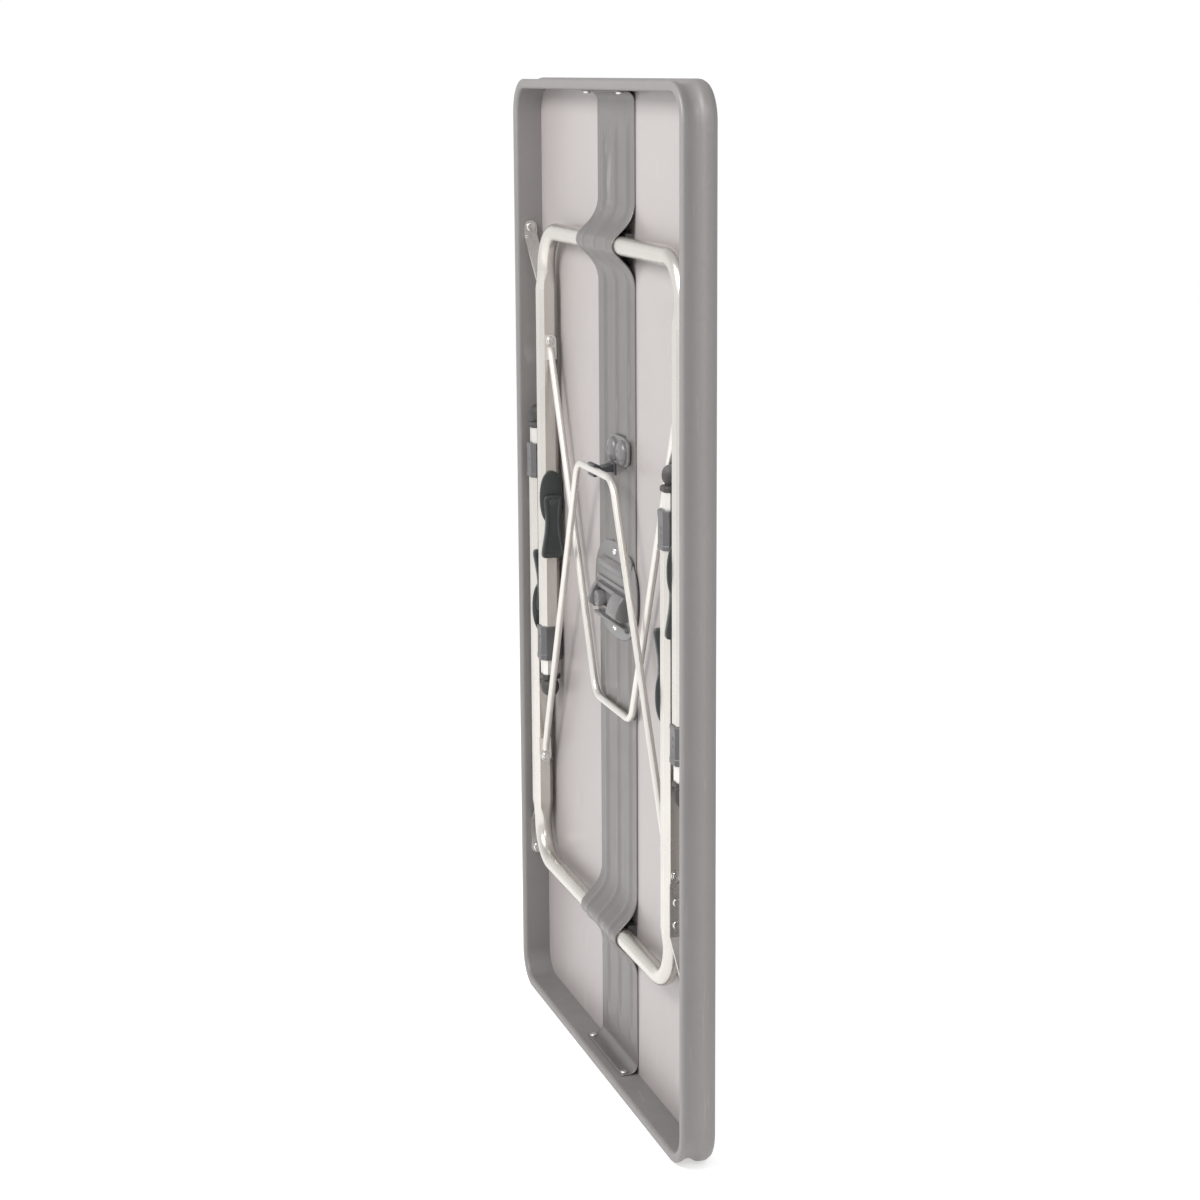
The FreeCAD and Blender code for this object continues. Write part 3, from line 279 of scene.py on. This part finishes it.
FINISHES = {
    "table_face": finish_material(
        "pale_laminate", (0.66, 0.63, 0.60), 0.42, patch=(5.0, 0.03), skin=(1400.0, 0.00005),
        scratch=(40.0, 0.12), scratch_tone=(0.5, 0.48, 0.46), dust=0.06),
    "board_underside": finish_material(
        "underside_laminate", (0.345, 0.316, 0.309), 0.34, patch=(3.5, 0.03), sheen=0.1,
        skin=(1100.0, 0.00002), scratch=(34.0, 0.10), scratch_tone=(0.8, 0.78, 0.76), dust=0.05),
    "board_core": finish_material(
        "fibreboard", (0.40, 0.30, 0.20), 0.8, patch=(60.0, 0.15), skin=(1500.0, 0.0001)),
    "rim_aluminium": finish_material(
        "grey_coated_rim", (0.205, 0.194, 0.190), 0.46, 0.15, patch=(4.0, 0.03), sheen=0.08,
        skin=(2200.0, 0.00002), scratch=(50.0, 0.10), edge=0.12, edge_tone=(0.42, 0.40, 0.39), dust=0.08),
    "rib_metal": finish_material(
        "grey_coated_sheet", (0.172, 0.162, 0.157), 0.38, 0.45, patch=(6.0, 0.04), sheen=0.12,
        skin=(1500.0, 0.00003), scratch=(46.0, 0.18), edge=0.35, dust=0.08,
        grain=((900.0, 900.0, 12.0), 0.8)),
    "bright_fasteners": finish_material(
        "bright_zinc", (0.72, 0.71, 0.69), 0.24, 1.0, patch=(80.0, 0.08), sheen=0.2,
        skin=(3000.0, 0.00002), scratch=(240.0, 0.3), scratch_tone=(0.4, 0.4, 0.4)),
    "dark_bolts": finish_material(
        "blackened_steel", (0.10, 0.10, 0.10), 0.35, 0.9, patch=(80.0, 0.1), skin=(2500.0, 0.00002),
        edge=0.5),
    "saddle_plastic": finish_material(
        "saddle_grey", (0.10, 0.10, 0.10), 0.55, patch=(30.0, 0.05), skin=(1800.0, 0.00005), edge=0.2,
        dust=0.15),
    "bracket_plastic": finish_material(
        "bracket_grey", (0.150, 0.145, 0.145), 0.34, 0.1, patch=(18.0, 0.04), skin=(1500.0, 0.00003),
        scratch=(120.0, 0.2), scratch_tone=(0.5, 0.5, 0.5), edge=0.35, edge_tone=(0.55, 0.54, 0.54),
        dust=0.08),
    "clip_plastic": finish_material(
        "clip_grey", (0.145, 0.14, 0.14), 0.32, 0.1, patch=(25.0, 0.04), skin=(1500.0, 0.00003), edge=0.3,
        edge_tone=(0.5, 0.5, 0.5), dust=0.06),
    "hook_plastic": finish_material(
        "hook_charcoal", (0.045, 0.045, 0.05), 0.4, patch=(40.0, 0.06), skin=(1800.0, 0.00004), edge=0.4,
        edge_tone=(0.2, 0.2, 0.21)),
    "leg_tube_metal": finish_material(
        "satin_leg_tube", (0.60, 0.572, 0.535), 0.25, 0.8, patch=(7.0, 0.04), sheen=0.14,
        skin=(1800.0, 0.00002), scratch=(70.0, 0.3), scratch_tone=(0.42, 0.41, 0.40), edge=0.35,
        edge_tone=(0.8, 0.78, 0.76), dust=0.04),
    "inner_tube_metal": finish_material(
        "satin_inner_tube", (0.68, 0.66, 0.63), 0.30, 0.7, patch=(9.0, 0.04), sheen=0.14,
        skin=(1800.0, 0.00002), scratch=(60.0, 0.55), scratch_tone=(0.38, 0.37, 0.36), edge=0.3,
        edge_tone=(0.8, 0.79, 0.77)),
    "stay_rod_metal": finish_material(
        "bright_rod", (0.66, 0.635, 0.60), 0.30, 0.7, patch=(12.0, 0.05), sheen=0.12,
        skin=(1600.0, 0.00001), scratch=(60.0, 0.12), scratch_tone=(0.45, 0.44, 0.43), dust=0.04),
    "strap_metal": finish_material(
        "zinc_strap", (0.58, 0.565, 0.55), 0.30, 0.85, patch=(30.0, 0.08), sheen=0.2,
        skin=(1500.0, 0.00003), scratch=(120.0, 0.35), scratch_tone=(0.35, 0.35, 0.34), edge=0.4,
        edge_tone=(0.85, 0.84, 0.82)),
    "collar_plastic": finish_material(
        "collar_grey", (0.085, 0.083, 0.086), 0.40, patch=(25.0, 0.05), skin=(1600.0, 0.00005),
        scratch=(110.0, 0.2), scratch_tone=(0.4, 0.4, 0.4), edge=0.35, edge_tone=(0.33, 0.33, 0.33),
        dust=0.08),
    "foot_rubber": finish_material(
        "foot_rubber", (0.030, 0.028, 0.027), 0.58, patch=(40.0, 0.1), skin=(1200.0, 0.00008), edge=0.2,
        edge_tone=(0.16, 0.155, 0.15), dust=0.22),
    "lever_plastic": finish_material(
        "lever_charcoal", (0.026, 0.031, 0.030), 0.34, patch=(22.0, 0.06), skin=(1500.0, 0.00004),
        scratch=(110.0, 0.25), scratch_tone=(0.2, 0.2, 0.2), edge=0.4, edge_tone=(0.17, 0.175, 0.17),
        dust=0.06),
}


def paint(obj, slot):
    obj.data.materials.clear()
    obj.data.materials.append(FINISHES[slot])


for part in frame["record"]["subparts"]:
    paint(frame["nodes"][part["node"]], part["material_slot"])


# ------------------------------------------------------------ making pieces
WELD = 1e-6
SHARP_ANGLE = math.radians(40)
TURN_STEPS = 32


def hand_over(name, work, body, slot, node):
    """Make a bmesh an object in one finish that rides on a body and stands for a frame node."""
    mesh = bpy.data.meshes.new(name)
    work.to_mesh(mesh)
    work.free()
    mesh.shade_smooth()
    obj = bpy.data.objects.new(name, mesh)
    bpy.context.scene.collection.objects.link(obj)
    mesh.materials.append(FINISHES[slot])
    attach(obj, body)
    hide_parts(node)
    return obj


def piece(name, work, body, slot, node, sharp=SHARP_ANGLE):
    """Close a solid's seams, point its faces outwards and keep its corners crisp."""
    bmesh.ops.remove_doubles(work, verts=work.verts, dist=WELD)
    bmesh.ops.recalc_face_normals(work, faces=work.faces)
    obj = hand_over(name, work, body, slot, node)
    obj.data.set_sharp_from_angle(angle=sharp)


def verts_of(geometry):
    return [g for g in geometry if isinstance(g, bmesh.types.BMVert)]


def edges_of(geometry):
    return [g for g in geometry if isinstance(g, bmesh.types.BMEdge)]


def draw_out(work, line):
    """Extrude a line of edges in place; gives the new vertices and the new line."""
    made = bmesh.ops.extrude_edge_only(work, edges=line)["geom"]
    fresh = verts_of(made)
    ends = set(fresh)
    return fresh, [e for e in edges_of(made) if ends.issuperset(e.verts)]


def prism(work, outline, along, rounding, segments=3):
    """Solid from a flat outline pushed along a vector, edges rounded."""
    face = work.faces.new([work.verts.new(p) for p in outline])
    top = verts_of(bmesh.ops.extrude_face_region(work, geom=[face])["geom"])
    bmesh.ops.translate(work, verts=top, vec=along)
    edges = list(dict.fromkeys(e for v in list(face.verts) + top for e in v.link_edges))
    bmesh.ops.bevel(work, geom=edges, offset=rounding, affect="EDGES", segments=segments, profile=0.5,
                    material=-1)


def turned(work, profile, base, axis):
    """Solid of revolution: profile is (radius, distance along the axis)."""
    side = axis.orthogonal().normalized()
    line = [work.verts.new(base + side * r + axis * d) for r, d in profile]
    edges = [work.edges.new(pair) for pair in zip(line, line[1:])]
    bmesh.ops.spin(work, geom=line + edges, cent=base, axis=axis, dvec=(0, 0, 0), angle=math.tau,
                   steps=TURN_STEPS, use_merge=True)


def oval(half_a, half_b, square_a, square_b, count):
    """Flattened oval as (a, b) pairs: powers of 1 make an ellipse, smaller ones squarer sides."""
    points = []
    for i in range(count):
        c = math.cos(math.tau * i / count)
        s = math.sin(math.tau * i / count)
        points.append((half_a * math.copysign(abs(c) ** square_a, c),
                       half_b * math.copysign(abs(s) ** square_b, s)))
    return points


# --------------------------------------------------------------- centre rib
RIB_HALF = 62.5 * MM
RIB_SHEET = 1.5 * MM
RIB_STRIPS = 62                  # enough across the sheet for round ridges
WALL_INSET = 12.5 * MM
FLANGE_TIP = UNDERSIDE - 20 * MM
END_BEND = 12 * MM
ARCH_FOOT = 40 * MM
CREST = 10.4 * MM
ARCH_RISE = UNDERSIDE - (AXIS_Y - CREST * math.sqrt(2))

RIDGES_AT = (-40 * MM, 0, 40 * MM)
RIDGE_HALF = 8.5 * MM
RIDGE_HIGH = 2.0 * MM
RIDGE_LOW = 1.1 * MM             # under the folded stay's bar
END_FLAT = 26 * MM               # no ridge this near the ends
END_FADE = 30 * MM
ARCH_SHARE = 0.35                # of the ridge's height left on an arch
ARCH_FLAT = 12 * MM
ARCH_FADE = 40 * MM
STOWED_BAR_Z = 417 * MM
BAR_FLAT = 8 * MM
BAR_FADE = 25 * MM


def walk_straight(work, line, way, length, steps):
    """Draw the line out along a direction in even steps."""
    for _ in range(steps):
        fresh, line = draw_out(work, line)
        bmesh.ops.translate(work, verts=fresh, vec=way * (length / steps))
    return line


def walk_bend(work, line, here, way, radius, turn, steps):
    """Carry the line round an arc; positive turns go from +Z towards +Y."""
    side = Vector((0, way.z, -way.y)) * (1 if turn > 0 else -1)
    centre = here + side * radius
    angle = -math.radians(turn)
    made = bmesh.ops.spin(work, geom=line, cent=centre, axis=X_WAY, dvec=(0, 0, 0), angle=angle, steps=steps)
    spun = Matrix.Rotation(angle, 3, "X")
    return edges_of(made["geom_last"]), centre + spun @ (here - centre), spun @ way


def rib_plan():
    """Runs (length, steps) and bends (radius, turn, steps) from one flange tip to the other."""
    foot_run = ARCH_FOOT * math.tan(math.radians(22.5))
    slope = ARCH_RISE * math.sqrt(2) - foot_run - CREST
    outer = AXIS_INSET - WALL_INSET - END_BEND - ARCH_RISE - foot_run
    middle = LENGTH - 2 * (AXIS_INSET + ARCH_RISE + foot_run)
    flange = (UNDERSIDE - FLANGE_TIP - END_BEND, 3)
    end_bend = (END_BEND, -90, 10)
    arch_foot = (ARCH_FOOT, -45, 10)
    arch = [arch_foot, (slope, 4), (CREST, 90, 14), (slope, 4), arch_foot]
    return [flange, end_bend, (outer, 16), *arch, (middle, 60), *arch, (outer, 16), end_bend, flange]


def fade_in(distance, flat, fade):
    return min(1.0, max(0.0, (distance - flat) / fade))


def ridge_height(x, z):
    """Three ridges along the sheet, lower on the arches and under the stowed bar."""
    off = min(abs(x - at) for at in RIDGES_AT)
    if off >= RIDGE_HALF:
        return 0.0
    bulge = 0.5 + 0.5 * math.cos(math.pi * off / RIDGE_HALF)
    from_end = min(z - WALL_INSET, LENGTH - WALL_INSET - z)
    from_arch = min(abs(z - AXIS_INSET), abs(z - LENGTH + AXIS_INSET))
    share = fade_in(from_end, END_FLAT, END_FADE)
    share *= min(1.0, ARCH_SHARE + max(0.0, from_arch - ARCH_FLAT) / ARCH_FADE)
    clear = fade_in(abs(z - STOWED_BAR_Z), BAR_FLAT, BAR_FADE)
    return (RIDGE_LOW + (RIDGE_HIGH - RIDGE_LOW) * clear) * bulge * share


def make_rib():
    work = bmesh.new()
    here = Vector((0, FLANGE_TIP, WALL_INSET))
    way = Y_WAY
    across = [-RIB_HALF + 2 * RIB_HALF * i / RIB_STRIPS for i in range(RIB_STRIPS + 1)]
    start = [work.verts.new((x, here.y, here.z)) for x in across]
    line = [work.edges.new(pair) for pair in zip(start, start[1:])]
    for step in rib_plan():
        if len(step) == 2:
            line = walk_straight(work, line, way, *step)
            here = here + way * step[0]
        else:
            line, here, way = walk_bend(work, line, here, way, *step)
    bmesh.ops.recalc_face_normals(work, faces=work.faces)
    if sum(f.normal.y * f.calc_area() for f in work.faces) > 0:
        bmesh.ops.reverse_faces(work, faces=work.faces)
    work.normal_update()
    normals = {v: v.normal.copy() for v in work.verts}
    for v, normal in normals.items():
        v.co += normal * ridge_height(v.co.x, v.co.z)
    obj = hand_over("centre_rib_sheet", work, "tabletop", "rib_metal", "centre_rib")
    wall = obj.modifiers.new("sheet", "SOLIDIFY")
    wall.thickness = RIB_SHEET
    wall.offset = 1.0


# ------------------------------------------------ bracket and clip on the rib
# Sizes here are in millimetres: x and z as in the frame, heights above the board's underside.
BRACKET_HALF = (73, 53)
BRACKET_MIDDLE_Z = 549.5
BRACKET_SHEET = (1.5, 2.5)       # height it starts at, thickness
BRACKET_SQUARE = 2 / 2.4
BRACKET_ROUNDING = 0.9
OUTLINE_POINTS = 56

# Outlines of (z, height) corners; each starts inside the plate under it.
SEAT_RAMP = [(521, 3), (521, 12), (526, 18.4), (530, 18.4), (541.9, 14.2), (549, 9), (549, 3)]
LOWER_SILL = [(523, 3), (523, 7.5), (526, 8), (526, 3)]
MIDDLE_SILL = [(544, 3), (544, 9), (549, 8.5), (549, 3)]
SEAT_WEB = [(530, 3), (530, 12), (541, 11), (541, 3)]
CROSS_RIDGE = [(552.5, 3), (552.5, 6.6), (557, 6.2), (557, 3)]
BAR_STOP = [(570.8, 3), (570.8, 10), (572, 11.4), (577, 11.4), (581.6, 6), (581.6, 3)]
LOWER_EDGE = [(510, 3), (510, 7), (512, 9.5), (515, 9.5), (515, 3)]
CORNER_PAD = [(582, 3), (582, 5.4), (590, 5.4), (590, 3)]
BRACKET_BARS = (
    # x from, x to, outline, rounding
    (8, 42, SEAT_RAMP, 1.2),
    (-58, -51, SEAT_RAMP, 1.0),
    (-52, 9, LOWER_SILL, 0.8),
    (-52, 9, MIDDLE_SILL, 0.8),
    (-1, 9, SEAT_WEB, 0.8),
    (-60, 44, CROSS_RIDGE, 0.8),
    (-43, 43, BAR_STOP, 1.0),
    (-62, 46, LOWER_EDGE, 0.8),
    (30, 58, CORNER_PAD, 0.8),
)
SPRING_CAP = [(0, 0), (9, 0), (9, 9.6), (8.4, 10.6), (7.2, 11), (4.6, 11), (4.2, 10.2), (0, 10.2)]
SPRING_CAP_SPOT = (-40, 3, 532.5)

SCREW_HEAD = [(0, -2), (4.3, -2), (4.3, 0.5), (4.042, 1.3), (3.01, 2.1), (1.806, 2.4), (1.29, 1.5), (0, 1.2)]
SCREW_SPOTS = ((0, 4, 508), (0, 4, 592))

CLIP_HALF = (33, 16)
CLIP_MIDDLE_Z = 706.1
CLIP_SHIFT = 17
CLIP_SHEET = (2.2, 3.4)
CLIP_SQUARE = 2 / 3.6
CLIP_ROUNDING = 1.0
DOME = [(0, -1), (13.4, -1), (13.4, 1.5), (12.6, 3.2), (10.5, 5.0), (7, 6.2), (3.4, 6.6), (2.8, 6.0),
        (0, 5.9)]
DOME_SPOTS = ((1, 5.6, 706), (33, 5.6, 706))

HOOK_EYE = (682.8, 27.0)         # z and height of the stowed bar
# Arcs round the eye: radius, first angle, sweep, steps.
HOOK_OUTER = (7.1, 20, -220, 12)
HOOK_INNER = (4.4, -205, 230, 10)
HOOK_POST = [(679.5, 2.5), (680.5, 21), (685, 21), (688.5, 2.5)]
HOOK_FOOT = [(676, 2.5), (677, 5.5), (689.5, 5.5), (689.9, 2.5)]
HOOK_ACROSS = (-18.5, 2.5)       # x from and to
POST_ACROSS = (-16, 0)
HOOK_ROUNDING = 0.5
POST_ROUNDING = 0.8


def on_board(x, height, z):
    return Vector((x * MM, UNDERSIDE - height * MM, z * MM))


def board_plate(work, half, middle_x, middle_z, sheet, square, rounding):
    """Flat plate lying on the board."""
    start, thickness = sheet
    outline = oval(*half, square, square, OUTLINE_POINTS)
    points = [on_board(middle_x + a, start, middle_z + b) for a, b in outline]
    prism(work, points, Y_WAY * (-thickness * MM), rounding * MM)


def board_bar(work, x_from, x_to, outline, rounding):
    """Bar across the board from its (z, height) outline."""
    points = [on_board(x_from, height, z) for z, height in outline]
    prism(work, points, X_WAY * ((x_to - x_from) * MM), rounding * MM)


def board_round(work, profile, spot):
    """Round feature standing on the board at (x, height, z)."""
    turned(work, [(r * MM, d * MM) for r, d in profile], on_board(*spot), -Y_WAY)


def hook_arc(radius, first, sweep, steps):
    z, height = HOOK_EYE
    angles = [math.radians(first + sweep * i / steps) for i in range(steps + 1)]
    return [(z + radius * math.cos(t), height + radius * math.sin(t)) for t in angles]


def make_bracket():
    work = bmesh.new()
    board_plate(work, BRACKET_HALF, 0, BRACKET_MIDDLE_Z, BRACKET_SHEET, BRACKET_SQUARE, BRACKET_ROUNDING)
    for bar in BRACKET_BARS:
        board_bar(work, *bar)
    board_round(work, SPRING_CAP, SPRING_CAP_SPOT)
    piece("seat_bracket", work, "tabletop", "bracket_plastic", "centre_bracket")


def make_bracket_screws():
    """Domed heads with a round recess."""
    work = bmesh.new()
    for spot in SCREW_SPOTS:
        board_round(work, SCREW_HEAD, spot)
    piece("bracket_screw_heads", work, "tabletop", "bright_fasteners", "bracket_screws")


def make_clip():
    work = bmesh.new()
    board_plate(work, CLIP_HALF, CLIP_SHIFT, CLIP_MIDDLE_Z, CLIP_SHEET, CLIP_SQUARE, CLIP_ROUNDING)
    for spot in DOME_SPOTS:
        board_round(work, DOME, spot)
    piece("clip_plate", work, "tabletop", "clip_plastic", "stow_clip_base")
    work = bmesh.new()
    board_bar(work, *HOOK_ACROSS, hook_arc(*HOOK_OUTER) + hook_arc(*HOOK_INNER), HOOK_ROUNDING)
    board_bar(work, *POST_ACROSS, HOOK_POST, POST_ROUNDING)
    board_bar(work, *HOOK_ACROSS, HOOK_FOOT, POST_ROUNDING)
    piece("clip_hook", work, "tabletop", "hook_plastic", "stow_clip_hook")


# -------------------------------------------------------------- leg fittings
# Sizes here are in millimetres: a inward from the leg's centre line, b along +Y, c down the leg.
LEVER_HALF = [(0, 306), (6, 306.2), (9.6, 307.5), (11, 311), (10.3, 320), (9.1, 332), (9.0, 340), (9.9, 350),
              (11.9, 362), (13.7, 372), (13.9, 376.5), (12.4, 379.4), (8.5, 380), (0, 380)]
LEVER_BACK = 14.9
LEVER_THICK = 6.1
LEVER_ROUNDING = 1.3
LEVER_RIM = (2.2, 0.0)           # width and depth of the face's flat border
LEVER_STEP = (0.8, -0.7)         # and of the step down to its hollow
LEVER_BOLT = Vector((20.3, 0, 314))
BOLT_HEAD = [(0, -0.9), (4.1, -0.9), (4.1, 0.2), (3.6, 0.7), (2.0, 0.8), (1.7, 0.1), (0, 0)]

CLAMP_PLATE_HALF = (14.2, 31.5)
CLAMP_PLATE_SQUARE = (0.86, 0.92)
CLAMP_PLATE_MIDDLE = 309.5
CLAMP_PLATE_BACK = 10.95
CLAMP_PLATE_THICK = 3.4
CLAMP_PLATE_POINTS = 40
CLAMP_PLATE_ROUNDING = 1.1

# Rings of an eight-sided sleeve: place down the leg, half width, corner cut.
COLLAR_RINGS = ((464.2, 11.2, 4.6), (464.2, 12.6, 5.2), (465.0, 13.1, 5.2), (468.5, 13.1, 5.2),
                (469.3, 12.7, 5.2), (497.5, 12.7, 5.2), (498.3, 13.1, 5.2), (503.6, 13.1, 5.2),
                (504.8, 12.3, 5.2), (504.8, 10.0, 4.6), (498.2, 10.0, 4.6), (498.2, 11.2, 4.6))
COLLAR_SHARP = math.radians(30)
COLLAR_PIN = [(0, -1), (2.3, -1), (2.3, 0.25), (1.7, 0.5), (0, 0.5)]
COLLAR_PINS_AT = (478, 486)
COLLAR_FACE = 12.6

FOOT_RINGS = ((497.5, 7.6, 4.4), (523.0, 7.6, 4.4), (523.0, 10.9, 4.4), (524.0, 11.0, 4.4),
              (527.6, 11.0, 4.4), (529.0, 9.9, 4.4), (529.0, 7.4, 4.4), (529.0, 4.0, 1.6),
              (498.0, 4.0, 1.6))
FOOT_BALL = [(0, 0), (7.4, 0), (7.4, 3.5), (7.8, 5.0), (9.4, 7.2), (10.6, 10.5), (10.75, 14), (10.1, 17.6),
             (8.4, 21.0), (5.6, 23.2), (2.6, 23.9), (0, 23.95)]
FOOT_BALL_BASE = Vector((0, 0, 526))

STAY_PIVOT = 126
RIVET_HEAD = [(0, -0.6), (5.5, -0.6), (5.5, 0.5), (5.0, 0.8), (4.0, 0.8), (3.7, 1.6), (2.9, 1.95),
              (1.7, 1.95), (1.3, 1.2), (0, 1.1)]
RIVET_SHANK = [(0, 0), (2.95, 0), (2.95, 25.6), (0, 25.6)]
RIVET_INNER = 14.8
RIVET_OUTER = -11


def lay_on_leg(verts, end, side):
    """Move vertices from their (a, b, c) sizes to one leg of one frame."""
    inward = -1 if side == "right" else 1
    down = -1 if end == "upper" else 1
    leg_x = -inward * FRAME_HALF - down * FRAME_SHIFT
    hinge_z = LENGTH - AXIS_INSET if end == "upper" else AXIS_INSET
    for v in verts:
        a, b, c = v.co * MM
        v.co = Vector((leg_x + inward * a, AXIS_Y + b, hinge_z + down * c))


def make_lever(end, side):
    work = bmesh.new()
    outline = LEVER_HALF + [(-b, c) for b, c in reversed(LEVER_HALF[1:-1])]
    prism(work, [Vector((LEVER_BACK, b, c)) for b, c in outline], X_WAY * LEVER_THICK,
          LEVER_ROUNDING, segments=4)
    front = max(work.faces, key=lambda f: f.calc_center_median().x)
    for width, depth in (LEVER_RIM, LEVER_STEP):
        bmesh.ops.inset_region(work, faces=[front], thickness=width, depth=depth)
    turned(work, BOLT_HEAD, LEVER_BOLT, X_WAY)
    lay_on_leg(work.verts, end, side)
    piece(f"{end}_{side}_clamp_lever", work, f"{end}_{side}_lever", "lever_plastic", f"{end}_lever_{side}")


def make_clamp_plate(end, side):
    work = bmesh.new()
    outline = oval(*CLAMP_PLATE_HALF, *CLAMP_PLATE_SQUARE, CLAMP_PLATE_POINTS)
    points = [Vector((CLAMP_PLATE_BACK, b, CLAMP_PLATE_MIDDLE + c)) for b, c in outline]
    prism(work, points, X_WAY * CLAMP_PLATE_THICK, CLAMP_PLATE_ROUNDING)
    lay_on_leg(work.verts, end, side)
    piece(f"{end}_{side}_clamp_plate", work, f"{end}_leg_frame", "lever_plastic", f"{end}_clamp_base_{side}")


def sleeve(work, rings):
    """Closed eight-sided sleeve: one outline drawn out from ring to ring and back to the first."""
    c, half, cut = rings[0]
    short = half - cut
    corners = ((half, -short), (half, short), (short, half), (-short, half),
               (-half, short), (-half, -short), (-short, -half), (short, -half))
    start = [work.verts.new((x, y, c)) for x, y in corners]
    line = [work.edges.new(pair) for pair in zip(start, start[1:] + start[:1])]
    for c, half, cut in rings[1:] + rings[:1]:
        fresh, line = draw_out(work, line)
        for v in fresh:
            reach = (half, half - cut) if abs(v.co.x) > abs(v.co.y) else (half - cut, half)
            v.co = Vector((math.copysign(reach[0], v.co.x), math.copysign(reach[1], v.co.y), c))


def make_collar(end, side):
    work = bmesh.new()
    sleeve(work, COLLAR_RINGS)
    for c in COLLAR_PINS_AT:
        turned(work, COLLAR_PIN, Vector((0, -COLLAR_FACE, c)), -Y_WAY)
        turned(work, COLLAR_PIN, Vector((COLLAR_FACE, 0, c)), X_WAY)
    lay_on_leg(work.verts, end, side)
    piece(f"{end}_{side}_leg_collar", work, f"{end}_leg_frame", "collar_plastic", f"{end}_collar_{side}",
          COLLAR_SHARP)


def make_foot(end, side):
    work = bmesh.new()
    sleeve(work, FOOT_RINGS)
    turned(work, FOOT_BALL, FOOT_BALL_BASE, Z_WAY)
    lay_on_leg(work.verts, end, side)
    piece(f"{end}_{side}_leg_foot", work, f"{end}_{side}_telescopic_leg", "foot_rubber", f"{end}_foot_{side}")


def make_stay_rivets(end):
    work = bmesh.new()
    for side in ("left", "right"):
        placed = set(work.verts)
        turned(work, RIVET_HEAD, Vector((RIVET_INNER, 0, STAY_PIVOT)), X_WAY)
        turned(work, RIVET_HEAD, Vector((RIVET_OUTER, 0, STAY_PIVOT)), -X_WAY)
        turned(work, RIVET_SHANK, Vector((RIVET_OUTER, 0, STAY_PIVOT)), X_WAY)
        lay_on_leg([v for v in work.verts if v not in placed], end, side)
    piece(f"{end}_rivet_heads", work, f"{end}_leg_frame", "bright_fasteners", f"{end}_stay_rivets")


make_rib()
make_bracket()
make_bracket_screws()
make_clip()
for end in ("upper", "lower"):
    make_stay_rivets(end)
    for side in ("left", "right"):
        make_lever(end, side)
        make_clamp_plate(end, side)
        make_collar(end, side)
        make_foot(end, side)


# -------------------------------------------------------------------- stage
FLOOR_HALF = 9.0
FLOOR_GLOW = 0.46                # lifts the floor to the backdrop's white
BACKDROP_SIDE = 1.02
BACKDROP_TOP = 0.55
KEY_POWER = 46
SIDE_POWER = 14


def make_floor():
    work = bmesh.new()
    bmesh.ops.create_grid(work, x_segments=1, y_segments=1, size=FLOOR_HALF)
    mesh = bpy.data.meshes.new("floor")
    work.to_mesh(mesh)
    work.free()
    floor = bpy.data.objects.new("floor", mesh)
    bpy.context.scene.collection.objects.link(floor)
    material = bpy.data.materials.new("floor_white")
    material.use_nodes = True
    surface = material.node_tree.nodes["Principled BSDF"]
    surface.inputs["Base Color"].default_value = (0.85, 0.85, 0.85, 1)
    surface.inputs["Emission Color"].default_value = (1, 1, 1, 1)
    surface.inputs["Emission Strength"].default_value = FLOOR_GLOW
    surface.inputs["Roughness"].default_value = 0.9
    surface.inputs["Specular IOR Level"].default_value = 0.1
    mesh.materials.append(material)


def add_softbox(name, at, target, size, power):
    data = bpy.data.lights.new(name, "AREA")
    data.shape = "RECTANGLE"
    data.size, data.size_y = size
    data.energy = power
    lamp = bpy.data.objects.new(name, data)
    lamp.location = at
    lamp.rotation_mode = "QUATERNION"
    lamp.rotation_quaternion = (Vector(target) - Vector(at)).to_track_quat("-Z", "Y")
    bpy.context.scene.collection.objects.link(lamp)


def light_world():
    """White backdrop at eye level, softer overhead."""
    world = bpy.data.worlds.new("studio")
    world.use_nodes = True
    tree = world.node_tree
    where = tree.nodes.new("ShaderNodeTexCoord").outputs["Generated"]
    split = tree.nodes.new("ShaderNodeSeparateXYZ")
    tree.links.new(where, split.inputs[0])
    fade = range_node(tree, split.outputs["Z"], 0.15, 0.6, BACKDROP_SIDE, BACKDROP_TOP)
    backdrop = tree.nodes["Background"]
    tree.links.new(fade, backdrop.inputs["Strength"])
    backdrop.inputs["Color"].default_value = (1, 1, 1, 1)
    bpy.context.scene.world = world


make_floor()
light_world()
add_softbox("key_softbox", (0.5, -1.7, 2.1), (0, 0, 1.0), (1.1, 0.9), KEY_POWER)
add_softbox("side_softbox", (2.4, -0.2, 2.3), (0.3, 0, 1.0), (1.0, 1.0), SIDE_POWER)
bpy.context.scene.view_settings.view_transform = "Standard"

# ------------------------------------------------------------------- camera
CAMERA_AT = (2.496046, -0.800391, 1.111111)
CAMERA_RIGHT = Vector((0.303537, 0.952801, -0.006015))
CAMERA_UP = Vector((-0.171048, 0.0607, 0.983391))
CAMERA_LENS = 73.636
CAMERA_SHIFT = -0.0667           # the framing sits below the level line of sight

camera_data = bpy.data.cameras.new("camera")
camera_data.sensor_width = 36.0
camera_data.lens = CAMERA_LENS
camera_data.shift_y = CAMERA_SHIFT
camera_data.clip_start = 0.05
camera_data.clip_end = 60
camera = bpy.data.objects.new("camera", camera_data)
camera_turn = Matrix((CAMERA_RIGHT, CAMERA_UP, CAMERA_RIGHT.cross(CAMERA_UP))).transposed()
camera.matrix_world = Matrix.Translation(CAMERA_AT) @ camera_turn.to_4x4()
bpy.context.scene.collection.objects.link(camera)
bpy.context.scene.camera = camera
